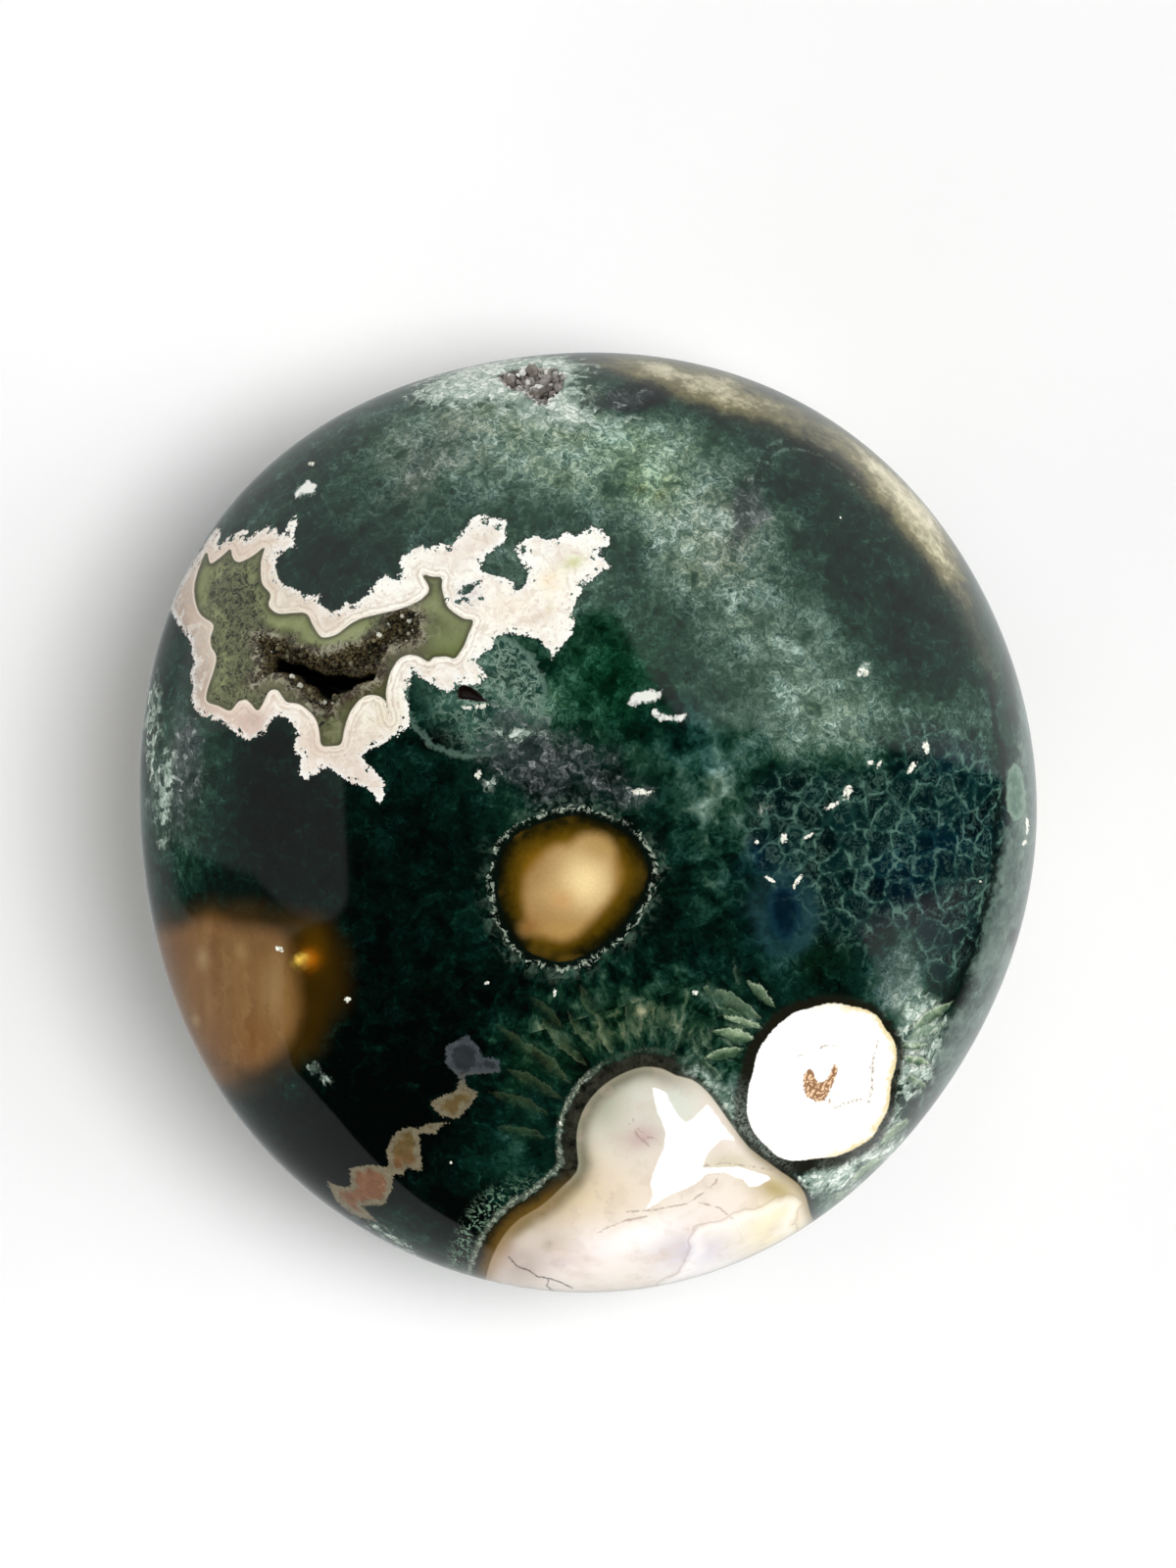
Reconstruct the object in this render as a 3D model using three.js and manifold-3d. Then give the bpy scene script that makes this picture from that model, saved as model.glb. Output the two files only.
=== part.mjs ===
// An ocean jasper palm stone: one polished, pillow-shaped pebble with two natural hollows, each lined
// with a crust of small quartz crystals. Millimetres, +Z up. The origin is at the middle of the flat
// spot that the stone rests on, centred on the stone's width (X) and length (Y).
import * as THREE from "three";
import { mergeVertices } from "three/addons/utils/BufferGeometryUtils.js";
import Module from "manifold-3d";

const wasm = await Module();
wasm.setup();

// Driving dimensions of the pebble.
const MEAN_RADIUS = 33.5; // of the outline seen from above
const CROWN = 19.5; // the dome's height above the widest line
const BELLY = 18.5; // the underside's depth below the widest line, before its flat spot is ground
const FULLNESS = 2.3; // exponent of the side profile: 2 is an ellipse, more is fuller
const FOOT_RADIUS = 9; // of the flat spot

// The outline departs from a circle by a few slow waves, each a share of the radius.
const OUTLINE_WAVES = [
  { lobes: 2, share: 0.0235, turn: -175 },
  { lobes: 3, share: 0.013, turn: 69 },
  { lobes: 4, share: 0.0042, turn: -154 },
  { lobes: 5, share: 0.0055, turn: -21 },
];
// Hand-polishing leaves the dome and the underside a little uneven, each a share of the local height.
const CROWN_WAVES = [
  { lobes: 1, share: 0.03, turn: -60 },
  { lobes: 2, share: 0.02, turn: 35 },
  { lobes: 3, share: 0.014, turn: 150 },
];
const BELLY_WAVES = [
  { lobes: 2, share: 0.025, turn: 110 },
  { lobes: 3, share: 0.012, turn: -20 },
];

// Faceting of the pebble.
const SEGMENTS_AROUND = 72;
const RINGS_ON_CROWN = 14;
const RINGS_ON_BELLY = 10;

// The crystal crusts.
const GAP = 0.3; // between the crust and the stone
const CRUST_THICKNESS = 0.5;
const RIM_SHARE = 0.985; // the crusts end inside the pebble shrunk to this share
const WEAR_DIRECTIONS = 6;
const POINT_SIDES = 6;
const LEAST_FACET = 0.06; // smaller steps than this are smoothed out of a crust

// A hollow is wider under the skin than at its mouth: each level's depth as a share of the hollow's
// depth, and its width as a share of the mouth's. The first level stands clear of the skin.
const LEVELS = [
  { depth: -0.35, width: 1 },
  { depth: 0, width: 1 },
  { depth: 0.3, width: 1.15 },
  { depth: 0.75, width: 0.9 },
  { depth: 1, width: 0.35 },
];

// Each hollow's mouth in plan: its upper and lower edge at stations from left to right.
const HOLLOWS = [
  {
    name: "vug_crystals",
    color: 0x6b6650,
    depth: 5.5,
    seed: 7,
    points: 58,
    pointRadius: [0.35, 0.85],
    stations: [
      { x: -25.0, top: 12.0, bottom: 10.6 },
      { x: -24.4, top: 13.0, bottom: 10.0 },
      { x: -23.5, top: 13.5, bottom: 10.5 },
      { x: -22.5, top: 13.6, bottom: 10.8 },
      { x: -21.5, top: 13.2, bottom: 9.6 },
      { x: -20.6, top: 12.7, bottom: 8.8 },
      { x: -19.8, top: 12.5, bottom: 8.3 },
      { x: -19.1, top: 12.3, bottom: 8.0 },
      { x: -18.5, top: 12.5, bottom: 7.9 },
      { x: -17.7, top: 12.9, bottom: 9.1 },
      { x: -16.7, top: 13.2, bottom: 9.7 },
      { x: -15.7, top: 13.6, bottom: 10.0 },
      { x: -14.8, top: 14.4, bottom: 11.3 },
      { x: -14.0, top: 15.4, bottom: 12.7 },
      { x: -13.0, top: 15.7, bottom: 13.0 },
      { x: -12.1, top: 15.0, bottom: 13.8 },
    ],
  },
  {
    name: "pocket_crystals",
    color: 0x9a9c95,
    depth: 3.2,
    seed: 19,
    points: 26,
    pointRadius: [0.3, 0.65],
    stations: [
      { x: -6.5, top: 32.3, bottom: 31.8 },
      { x: -6.1, top: 32.8, bottom: 31.3 },
      { x: -5.3, top: 32.8, bottom: 31.1 },
      { x: -4.5, top: 33.0, bottom: 30.6 },
      { x: -3.6, top: 33.1, bottom: 30.3 },
      { x: -2.8, top: 33.1, bottom: 30.1 },
      { x: -2.1, top: 32.9, bottom: 30.4 },
      { x: -1.6, top: 32.1, bottom: 31.1 },
    ],
  },
];

const radians = THREE.MathUtils.degToRad;

// 1 plus a sum of waves at a bearing, each growing with the distance from the middle, q.
function waves(list, bearing, q = 1) {
  return list.reduce(
    (sum, w) => sum + w.share * q ** w.lobes * Math.cos(w.lobes * bearing - radians(w.turn)),
    1,
  );
}

function outlineRadius(bearing) {
  return MEAN_RADIUS * waves(OUTLINE_WAVES, bearing);
}

// Height of the dome above the widest line, at a share q of the outline's radius.
function crownHeight(bearing, q) {
  return CROWN * (1 - q ** FULLNESS) ** (1 / FULLNESS) * waves(CROWN_WAVES, bearing, q);
}

function bellyDepth(bearing, q) {
  return BELLY * (1 - q ** FULLNESS) ** (1 / FULLNESS) * waves(BELLY_WAVES, bearing, q);
}

// The flat spot's plane, below the widest line.
const FOOT_DEPTH = BELLY * (1 - (FOOT_RADIUS / MEAN_RADIUS) ** FULLNESS) ** (1 / FULLNESS);

// The middle of the outline's width and length, from the point that its bearings are taken about.
const outline = Array.from({ length: 720 }, (_, i) => {
  const bearing = radians(i / 2);
  const r = outlineRadius(bearing);
  return new THREE.Vector2(r * Math.cos(bearing), r * Math.sin(bearing));
});
const MIDDLE = new THREE.Box2().setFromPoints(outline).getCenter(new THREE.Vector2());

// A point of the pebble in the part's frame, from a bearing, a share q and a height over the widest line.
function place(bearing, q, height) {
  const r = q * outlineRadius(bearing);
  const x = r * Math.cos(bearing) - MIDDLE.x;
  const y = r * Math.sin(bearing) - MIDDLE.y;
  return new THREE.Vector3(x, y, height + FOOT_DEPTH);
}

// The point of the dome over a plan position.
function onCrown(x, y) {
  const bearing = Math.atan2(y + MIDDLE.y, x + MIDDLE.x);
  const q = Math.min(Math.hypot(x + MIDDLE.x, y + MIDDLE.y) / outlineRadius(bearing), 1);
  return place(bearing, q, crownHeight(bearing, q));
}

function crownNormal(x, y) {
  const step = 0.05;
  const along = (dx, dy) => onCrown(x + dx, y + dy).sub(onCrown(x - dx, y - dy));
  return along(step, 0).cross(along(0, step)).normalize();
}

// A closed mesh as a solid that can be cut and joined.
function solidOf(geometry) {
  const bare = geometry.clone();
  bare.deleteAttribute("normal");
  bare.deleteAttribute("uv");
  const merged = mergeVertices(bare, 1e-4);
  return new wasm.Manifold(
    new wasm.Mesh({
      numProp: 3,
      vertProperties: new Float32Array(merged.attributes.position.array),
      triVerts: new Uint32Array(merged.index.array),
    }),
  );
}

function meshOf(solid, name, material) {
  const { vertProperties, triVerts } = solid.getMesh();
  const geometry = new THREE.BufferGeometry()
    .setAttribute("position", new THREE.BufferAttribute(new Float32Array(vertProperties), 3))
    .setIndex(new THREE.BufferAttribute(new Uint32Array(triVerts), 1));
  geometry.computeVertexNormals();
  const mesh = new THREE.Mesh(geometry, material);
  mesh.name = name;
  return mesh;
}

// The whole pebble, with its flat spot, before the hollows are cut.
function makePebble() {
  const rings = [];
  const ringAt = (shareAt, heightAt) =>
    Array.from({ length: SEGMENTS_AROUND }, (_, i) => {
      const bearing = (2 * Math.PI * i) / SEGMENTS_AROUND;
      const q = shareAt(bearing);
      return place(bearing, q, heightAt(bearing, q));
    });
  const shareAtAngle = (angle) => Math.cos(angle) ** (2 / FULLNESS);
  const footShare = FOOT_RADIUS / MEAN_RADIUS;
  const footAngle = Math.acos(footShare ** (FULLNESS / 2));

  rings.push(ringAt(() => footShare, () => -FOOT_DEPTH));
  for (let i = 1; i < RINGS_ON_BELLY; i++) {
    const q = shareAtAngle(footAngle * (1 - i / RINGS_ON_BELLY));
    rings.push(ringAt(() => q, (b) => -Math.min(bellyDepth(b, q), FOOT_DEPTH)));
  }
  for (let i = 0; i < RINGS_ON_CROWN; i++) {
    const q = shareAtAngle((Math.PI / 2) * (i / RINGS_ON_CROWN));
    rings.push(ringAt(() => q, (b) => crownHeight(b, q)));
  }

  const points = [...rings.flat(), place(0, 0, -FOOT_DEPTH), place(0, 0, CROWN)];
  const footMiddle = points.length - 2;
  const top = points.length - 1;
  const faces = [];
  for (let i = 0; i < SEGMENTS_AROUND; i++) {
    const next = (i + 1) % SEGMENTS_AROUND;
    const lastRing = (rings.length - 1) * SEGMENTS_AROUND;
    faces.push(footMiddle, next, i);
    faces.push(top, lastRing + i, lastRing + next);
    for (let ring = 0; ring < rings.length - 1; ring++) {
      const low = ring * SEGMENTS_AROUND;
      const high = low + SEGMENTS_AROUND;
      faces.push(low + i, low + next, high + next, low + i, high + next, high + i);
    }
  }
  return solidOf(new THREE.BufferGeometry().setFromPoints(points).setIndex(faces));
}

// A repeatable run of numbers from 0 to 1.
function makeRandom(seed) {
  let state = seed;
  return () => {
    state = (state * 16807) % 2147483647;
    return state / 2147483647;
  };
}

// A hollow's middle in plan.
function middleOf({ stations }) {
  const first = stations[0];
  const last = stations[stations.length - 1];
  const middles = stations.map((s) => (s.top + s.bottom) / 2);
  return { x: (first.x + last.x) / 2, y: middles.reduce((a, b) => a + b) / middles.length };
}

// A station at a share of a hollow's length, between its neighbours.
function stationAt({ stations }, share) {
  const place = share * (stations.length - 1);
  const i = Math.min(Math.floor(place), stations.length - 2);
  const blend = (key) => THREE.MathUtils.lerp(stations[i][key], stations[i + 1][key], place - i);
  return { x: blend("x"), top: blend("top"), bottom: blend("bottom") };
}

// The upper and lower wall point of a hollow at a station and a level.
function wallPoints(hollow, station, level) {
  const middle = middleOf(hollow);
  const x = middle.x + (station.x - middle.x) * (0.5 + level.width / 2);
  const y = (station.top + station.bottom) / 2;
  const half = ((station.top - station.bottom) / 2) * level.width;
  const down = crownNormal(middle.x, middle.y).multiplyScalar(-level.depth * hollow.depth);
  return [y + half, y - half].map((side) => onCrown(x, side).add(down));
}

// The space of a hollow: rings of wall points, one below another, closed at both ends.
function makeSpace(hollow) {
  const count = hollow.stations.length;
  const points = LEVELS.flatMap((level) => {
    const pairs = hollow.stations.map((station) => wallPoints(hollow, station, level));
    return [...pairs.map(([upper]) => upper), ...pairs.map(([, lower]) => lower).reverse()];
  });
  const ring = 2 * count;
  const lastRing = (LEVELS.length - 1) * ring;
  const faces = [];
  for (let level = 0; level < LEVELS.length - 1; level++) {
    for (let i = 0; i < ring; i++) {
      const a = level * ring + i;
      const b = level * ring + ((i + 1) % ring);
      faces.push(a, b, b + ring, a, b + ring, a + ring);
    }
  }
  for (let i = 0; i < count - 1; i++) {
    const quad = [i, i + 1, ring - 2 - i, ring - 1 - i];
    faces.push(quad[0], quad[2], quad[1], quad[0], quad[3], quad[2]);
    const deep = quad.map((corner) => corner + lastRing);
    faces.push(deep[0], deep[1], deep[2], deep[0], deep[2], deep[3]);
  }
  return solidOf(new THREE.BufferGeometry().setFromPoints(points).setIndex(faces));
}

// A solid worn away by a distance all round and below: the part its moved copies have in common.
function wornBy(distance, solid) {
  const copies = [solid.translate([0, 0, distance])];
  for (let i = 0; i < WEAR_DIRECTIONS; i++) {
    const angle = (i / WEAR_DIRECTIONS) * 2 * Math.PI;
    copies.push(solid.translate([distance * Math.cos(angle), distance * Math.sin(angle), 0]));
  }
  return wasm.Manifold.intersection(copies);
}

// One quartz point: a six-sided prism that ends in a pyramid, standing on its base and sunk into it.
function makePoint(radius, base, direction, turn) {
  const sunk = 0.4 * radius;
  const shoulder = 0.7 * radius;
  const tip = 2.1 * radius;
  const profile = [
    new THREE.Vector2(0, -sunk),
    new THREE.Vector2(radius, -sunk),
    new THREE.Vector2(radius, shoulder),
    new THREE.Vector2(0, tip),
  ];
  const upright = new THREE.Quaternion().setFromAxisAngle(new THREE.Vector3(0, 1, 0), turn);
  const leaning = new THREE.Quaternion().setFromUnitVectors(new THREE.Vector3(0, 1, 0), direction);
  const geometry = new THREE.LatheGeometry(profile, POINT_SIDES)
    .applyQuaternion(leaning.multiply(upright))
    .translate(base.x, base.y, base.z);
  return solidOf(geometry);
}

// Quartz points all over a crust's inner wall, each leaning roughly towards the hollow's middle line.
function makePoints(hollow) {
  const random = makeRandom(hollow.seed);
  const points = [];
  for (let i = 0; i < hollow.points; i++) {
    const station = stationAt(hollow, random());
    const depth = 0.08 + 0.55 * random();
    const level = { depth, width: 1.15 - 0.7 * depth ** 3 };
    const [upper, lower] = wallPoints(hollow, station, level);
    const [wall, opposite] = random() < 0.5 ? [upper, lower] : [lower, upper];
    const across = opposite.clone().sub(wall).normalize();
    const base = wall.clone().addScaledVector(across, GAP + CRUST_THICKNESS);
    const lean = new THREE.Vector3(random() - 0.5, random() - 0.5, 1.4 * random());
    const direction = across.add(lean).normalize();
    const [least, most] = hollow.pointRadius;
    const radius = least + (most - least) * random() ** 2;
    points.push(makePoint(radius, base, direction, random() * Math.PI));
  }
  return wasm.Manifold.union(points);
}

// The largest body of a solid, without the chips beside it and the pores sealed inside it.
function largestBody(solid) {
  return solid.decompose().reduce((best, body) => (body.volume() > best.volume() ? body : best));
}

function makeCrust(hollow, pebble) {
  const space = makeSpace(hollow);
  const room = wornBy(GAP, space);
  const inner = wornBy(GAP + CRUST_THICKNESS, space);
  const centre = new THREE.Vector3(0, 0, FOOT_DEPTH);
  const underSkin = pebble
    .translate([-centre.x, -centre.y, -centre.z])
    .scale([RIM_SHARE, RIM_SHARE, RIM_SHARE])
    .translate([centre.x, centre.y, centre.z]);
  const points = makePoints(hollow).intersect(room);
  const crust = room.subtract(inner).add(points).intersect(underSkin);
  return largestBody(crust.simplify(LEAST_FACET));
}

const jasper = new THREE.Group();
const pebble = makePebble();
const stone = HOLLOWS.reduce((solid, hollow) => solid.subtract(makeSpace(hollow)), pebble);
jasper.add(
  meshOf(stone, "stone", new THREE.MeshStandardMaterial({ color: 0x1d3a33, roughness: 0.12, metalness: 0 })),
);
for (const hollow of HOLLOWS) {
  const material = new THREE.MeshStandardMaterial({ color: hollow.color, roughness: 0.25, metalness: 0 });
  jasper.add(meshOf(makeCrust(hollow, pebble), hollow.name, material));
}

export default jasper;
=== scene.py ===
import math

import bpy
import numpy as np
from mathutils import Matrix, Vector, noise


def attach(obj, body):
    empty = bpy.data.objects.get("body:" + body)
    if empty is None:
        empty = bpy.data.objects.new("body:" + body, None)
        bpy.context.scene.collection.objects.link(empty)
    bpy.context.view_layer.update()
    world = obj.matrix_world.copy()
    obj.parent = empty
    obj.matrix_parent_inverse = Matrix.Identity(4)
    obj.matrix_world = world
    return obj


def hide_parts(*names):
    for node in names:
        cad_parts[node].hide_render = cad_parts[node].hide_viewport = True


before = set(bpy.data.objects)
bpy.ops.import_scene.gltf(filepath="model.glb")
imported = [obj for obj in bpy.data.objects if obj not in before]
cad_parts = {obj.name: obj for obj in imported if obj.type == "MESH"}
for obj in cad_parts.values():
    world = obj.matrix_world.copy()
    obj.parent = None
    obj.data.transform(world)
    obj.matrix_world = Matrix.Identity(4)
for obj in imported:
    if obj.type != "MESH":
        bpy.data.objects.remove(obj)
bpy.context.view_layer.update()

MM = 0.001
FIT = 0.9994  # the fine surface stays just inside the box of the faceted one

# ---------------------------------------------------------------- the pebble's surface, in millimetres

MEAN_RADIUS, CROWN, BELLY, FULLNESS, FOOT_RADIUS = 33.5, 19.5, 18.5, 2.3, 9
OUTLINE_WAVES = ((2, 0.0235, -175), (3, 0.013, 69), (4, 0.0042, -154), (5, 0.0055, -21))
CROWN_WAVES = ((1, 0.03, -60), (2, 0.02, 35), (3, 0.014, 150))
BELLY_WAVES = ((2, 0.025, 110), (3, 0.012, -20))
DISTANCE = 1.2  # from the camera to the widest line, in metres
AIM = np.array([0, 2.8])  # the spot that the camera is above
SMALL_STEP = 1e-4  # between directions, for the slope of the surface
FOOT_DEPTH = BELLY * (1 - (FOOT_RADIUS / MEAN_RADIUS) ** FULLNESS) ** (1 / FULLNESS)


def waves(table, bearing, q=1.0):
    """1 plus a sum of (lobes, share, turn) waves round the pebble, each growing with q from its middle."""
    return 1 + sum(
        share * q**lobes * np.cos(lobes * bearing - math.radians(turn)) for lobes, share, turn in table
    )


def outline_radius(bearing):
    """The pebble's radius at its widest line."""
    return MEAN_RADIUS * waves(OUTLINE_WAVES, bearing)


def outline_middle():
    """The middle of the outline's box, which the whole pebble is centred on."""
    bearing = np.radians(np.arange(720) / 2)
    r = outline_radius(bearing)
    x, y = r * np.cos(bearing), r * np.sin(bearing)
    return np.array([(x.min() + x.max()) / 2, (y.min() + y.max()) / 2])


MIDDLE = outline_middle()


def surface(directions):
    """The pebble's points for unit directions out of its middle."""
    flat = np.hypot(directions[:, 0], directions[:, 1])
    bearing = np.arctan2(directions[:, 1], directions[:, 0])
    q = flat ** (2 / FULLNESS)
    rise = np.abs(directions[:, 2]) ** (2 / FULLNESS)
    crown = CROWN * rise * waves(CROWN_WAVES, bearing, q)
    belly = -np.minimum(BELLY * rise * waves(BELLY_WAVES, bearing, q), FOOT_DEPTH)
    height = np.where(directions[:, 2] >= 0, crown, belly) + FOOT_DEPTH
    r = q * outline_radius(bearing)
    x = (r * np.cos(bearing) - MIDDLE[0]) * FIT
    y = (r * np.sin(bearing) - MIDDLE[1]) * FIT
    return np.stack([x, y, height * FIT], axis=1)


def surface_normals(directions):
    """Unit normals of the pebble's smooth surface, from small steps along it."""
    side = np.cross(directions, [0.37, 0.61, 0.7])
    side /= np.linalg.norm(side, axis=1, keepdims=True)
    up = np.cross(directions, side)

    def slope(tangent):
        step = SMALL_STEP * tangent
        ends = [directions + step, directions - step]
        ends = [end / np.linalg.norm(end, axis=1, keepdims=True) for end in ends]
        return surface(ends[0]) - surface(ends[1])

    normals = np.cross(slope(side), slope(up))
    normals /= np.linalg.norm(normals, axis=1, keepdims=True)
    return normals


def plan_of(points):
    """Plan coordinates: as the camera sees the top face, and unrolled outward below the widest line."""
    nearer = DISTANCE / (DISTANCE - np.maximum(points[:, 2] - FOOT_DEPTH, 0) * MM)
    seen = AIM + (points[:, :2] - AIM) * nearer[:, None]
    below = np.maximum(FOOT_DEPTH - points[:, 2], 0)
    bearing = np.arctan2(points[:, 1] + MIDDLE[1], points[:, 0] + MIDDLE[0])
    outward = np.stack([np.cos(bearing), np.sin(bearing)], axis=1)
    edge = outward * outline_radius(bearing)[:, None] - MIDDLE
    inward = np.linalg.norm(edge - points[:, :2], axis=1)
    outward = edge / np.linalg.norm(edge, axis=1, keepdims=True)
    unrolled = edge + outward * (below + inward)[:, None]
    return np.where((below > 0)[:, None], unrolled, seen)


def skin_of(directions):
    """Coordinates measured along the surface, outward from the nearer of its two poles."""
    steps = np.linspace(0, math.pi / 2, 200)
    reach = MEAN_RADIUS * np.sin(steps) ** (2 / FULLNESS)
    lengths = []
    for tall in (CROWN, BELLY):
        height = tall * np.cos(steps) ** (2 / FULLNESS)
        lengths.append(np.concatenate([[0], np.cumsum(np.hypot(np.diff(reach), np.diff(height)))]))
    lengths[1] *= lengths[0][-1] / lengths[1][-1]
    flat = np.hypot(directions[:, 0], directions[:, 1])
    turn = np.arctan2(flat, np.abs(directions[:, 2]))
    length = np.where(
        directions[:, 2] >= 0, np.interp(turn, steps, lengths[0]), np.interp(turn, steps, lengths[1])
    )
    along = directions[:, :2] / np.maximum(flat, 1e-9)[:, None]
    return np.column_stack([along * length[:, None] - MIDDLE, 0 * length])


# ---------------------------------------------------------------- the drawing of the top face
# x is to the right and y down.

DRAWN = 0.0712  # millimetres in its unit
DRAWN_MIDDLE = (600, 839)  # the middle of the stone


def drawn(points):
    """Points of the drawing as points of the plan, in millimetres."""
    points = np.array(points, float)
    x, y = (points[..., 0] - DRAWN_MIDDLE[0]) * DRAWN, (DRAWN_MIDDLE[1] - points[..., 1]) * DRAWN
    return np.stack([x, y], axis=-1)


# The frilled band's smooth inner edge, round the green chalcedony.
BAND_INNER = [
    (210, 563), (214, 574), (219, 573), (228, 566), (235, 560), (237, 567), (240, 572), (246, 573),
    (258, 567), (270, 558), (267, 570), (266, 582), (268, 596), (276, 606), (274, 617), (280, 624),
    (288, 626), (300, 625), (313, 626), (319, 637), (326, 648), (333, 650), (345, 646), (358, 636),
    (371, 630), (392, 625), (408, 621), (421, 616), (430, 611), (437, 604), (437, 597), (431, 586),
    (441, 588), (451, 589), (451, 599), (455, 615), (460, 622), (467, 627), (474, 631), (483, 633),
    (479, 645), (474, 658), (469, 666), (464, 672), (457, 670), (448, 670), (442, 671), (437, 675),
    (428, 670), (419, 668), (411, 670), (405, 675), (399, 685), (396, 695), (394, 706), (395, 717),
    (398, 735), (395, 722), (392, 714), (386, 710), (378, 709), (371, 711), (365, 716), (359, 724),
    (355, 732), (351, 746), (348, 759), (338, 761), (328, 760), (326, 747), (323, 735), (316, 726),
    (307, 719), (299, 717), (292, 716), (287, 709), (283, 704), (277, 704), (273, 708), (268, 718),
    (263, 725), (257, 719), (252, 714), (248, 714), (243, 716), (239, 721), (234, 725), (223, 720),
    (212, 716), (211, 708), (214, 697), (218, 685), (221, 670), (216, 660), (215, 650), (218, 637),
    (206, 628), (200, 615), (199, 594),
]
# Its ragged outer edge.
BAND_OUTER = [
    (205, 562), (214, 548), (222, 538), (225, 543), (221, 556), (228, 554), (238, 546), (248, 541),
    (252, 543), (251, 552), (256, 550), (262, 544), (272, 538), (280, 537), (285, 544), (291, 544),
    (296, 530), (303, 524), (305, 529), (300, 540), (299, 550), (302, 556), (291, 562), (284, 567),
    (281, 576), (282, 587), (289, 596), (299, 601), (311, 606), (320, 607), (326, 606), (326, 614),
    (333, 622), (337, 624), (343, 623), (350, 621), (352, 614), (359, 616), (366, 614), (375, 606),
    (381, 598), (388, 590), (395, 586), (401, 592), (405, 590), (411, 584), (408, 575), (411, 568),
    (419, 562), (428, 557), (445, 556), (461, 556), (470, 545), (480, 534), (486, 526), (494, 525),
    (503, 527), (510, 531), (517, 532), (515, 545), (515, 552), (505, 558), (495, 567), (492, 575),
    (489, 582), (500, 586), (515, 590), (524, 594), (525, 604), (533, 600), (541, 590), (538, 580),
    (530, 570), (525, 560), (529, 555), (534, 551), (540, 549), (547, 546), (556, 551), (560, 553),
    (568, 550), (578, 543), (588, 547), (597, 542), (604, 537), (613, 541), (622, 549), (620, 555),
    (612, 560), (608, 566), (615, 570), (624, 578), (614, 582), (604, 590), (594, 598), (592, 603),
    (585, 614), (585, 622), (586, 636), (583, 646), (575, 656), (566, 668), (564, 673), (560, 664),
    (550, 652), (538, 648), (520, 645), (508, 647), (502, 660), (490, 668), (484, 676), (492, 684),
    (498, 689), (490, 697), (478, 699), (470, 697), (465, 700), (455, 706), (448, 702), (442, 698),
    (432, 692), (421, 684), (418, 697), (415, 712), (417, 728), (418, 740), (405, 750), (385, 760),
    (368, 771), (376, 782), (385, 790), (392, 800), (392, 812), (388, 819), (384, 815), (381, 808),
    (366, 800), (352, 795), (342, 786), (334, 782), (324, 787), (312, 794), (306, 790), (307, 780),
    (308, 771), (301, 766), (302, 752), (302, 743), (295, 733), (287, 729), (277, 733), (273, 740),
    (270, 750), (262, 752), (254, 755), (244, 751), (236, 742), (224, 735), (212, 732), (200, 725),
    (196, 712), (198, 700), (195, 688), (199, 678), (196, 664), (195, 655), (188, 645), (182, 636),
    (175, 622), (172, 612), (186, 590),
]
# Windows in the band: middle, half sizes and turn in degrees.
BAND_HOLES = [
    (478, 601, 7, 4, 40), (474, 611, 5, 1.8, 10), (497, 532, 2, 4, -30), (509, 535, 3, 2, 0),
    (534, 563, 1.8, 5, 0), (542, 580, 3, 2, 0), (287, 563, 6, 2.2, 10), (475, 691, 2, 1.5, 0),
    (467, 693, 1.5, 2, 0),
]
VUG_RIM = [
    (259, 648), (279, 648), (298, 654), (316, 662), (332, 666), (353, 659), (375, 651), (391, 638),
    (401, 626), (416, 620), (429, 626), (430, 641), (428, 653), (408, 657), (397, 665), (391, 679),
    (386, 695), (370, 701), (356, 709), (344, 717), (338, 727), (329, 727), (319, 722), (305, 710),
    (293, 695), (284, 689), (271, 692), (259, 698), (256, 692), (264, 682), (261, 666),
]
VUG_DEEP = [
    (272, 666), (285, 671), (298, 673), (313, 679), (323, 684), (344, 684), (350, 687), (368, 685),
    (380, 682), (384, 688), (381, 695), (372, 694), (361, 700), (353, 706), (338, 706), (332, 711),
    (323, 709), (315, 700), (303, 694), (298, 688), (285, 685), (272, 687), (269, 676),
]
AMBER_RIM = [
    (508, 890), (512, 870), (525, 853), (545, 842), (568, 835), (590, 831), (615, 838), (640, 850),
    (655, 868), (662, 888), (656, 910), (646, 930), (631, 948), (612, 965), (595, 975), (575, 981),
    (555, 978), (535, 968), (521, 950), (512, 930), (508, 910),
]
AMBER_CORE = [
    (533, 905), (535, 893), (545, 880), (555, 868), (568, 860), (580, 860), (592, 850), (607, 848),
    (621, 853), (630, 866), (632, 880), (635, 892), (630, 908), (622, 920), (612, 932), (600, 945),
    (590, 955), (575, 961), (560, 958), (545, 955), (533, 955), (528, 945), (535, 935), (532, 918),
]
WHITE_RIM = [
    (765, 1104), (769, 1092), (771, 1080), (776, 1068), (783, 1058), (791, 1048), (801, 1040),
    (812, 1032), (825, 1029), (838, 1025), (852, 1023), (866, 1026), (881, 1029), (895, 1036),
    (903, 1049), (912, 1061), (915, 1076), (913, 1091), (909, 1104), (908, 1120), (905, 1134),
    (897, 1148), (890, 1160), (877, 1169), (863, 1176), (851, 1180), (838, 1181), (824, 1183),
    (809, 1184), (794, 1180), (783, 1170), (772, 1159), (765, 1146), (762, 1132), (763, 1117),
]
PEACH_RIM = [
    (90, 950), (130, 956), (165, 950), (196, 942), (215, 936), (240, 944), (266, 947), (290, 956),
    (298, 978), (304, 1005), (305, 1030), (297, 1055), (284, 1074), (262, 1090), (236, 1100), (214, 1104),
    (180, 1100), (120, 1080), (90, 1040),
]
GLOW_RIM = [
    (80, 930), (150, 935), (200, 925), (250, 925), (290, 930), (322, 936), (342, 950), (354, 980),
    (352, 1015), (340, 1045), (318, 1072), (290, 1095), (255, 1112), (215, 1120), (150, 1115), (80, 1080),
]
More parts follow.
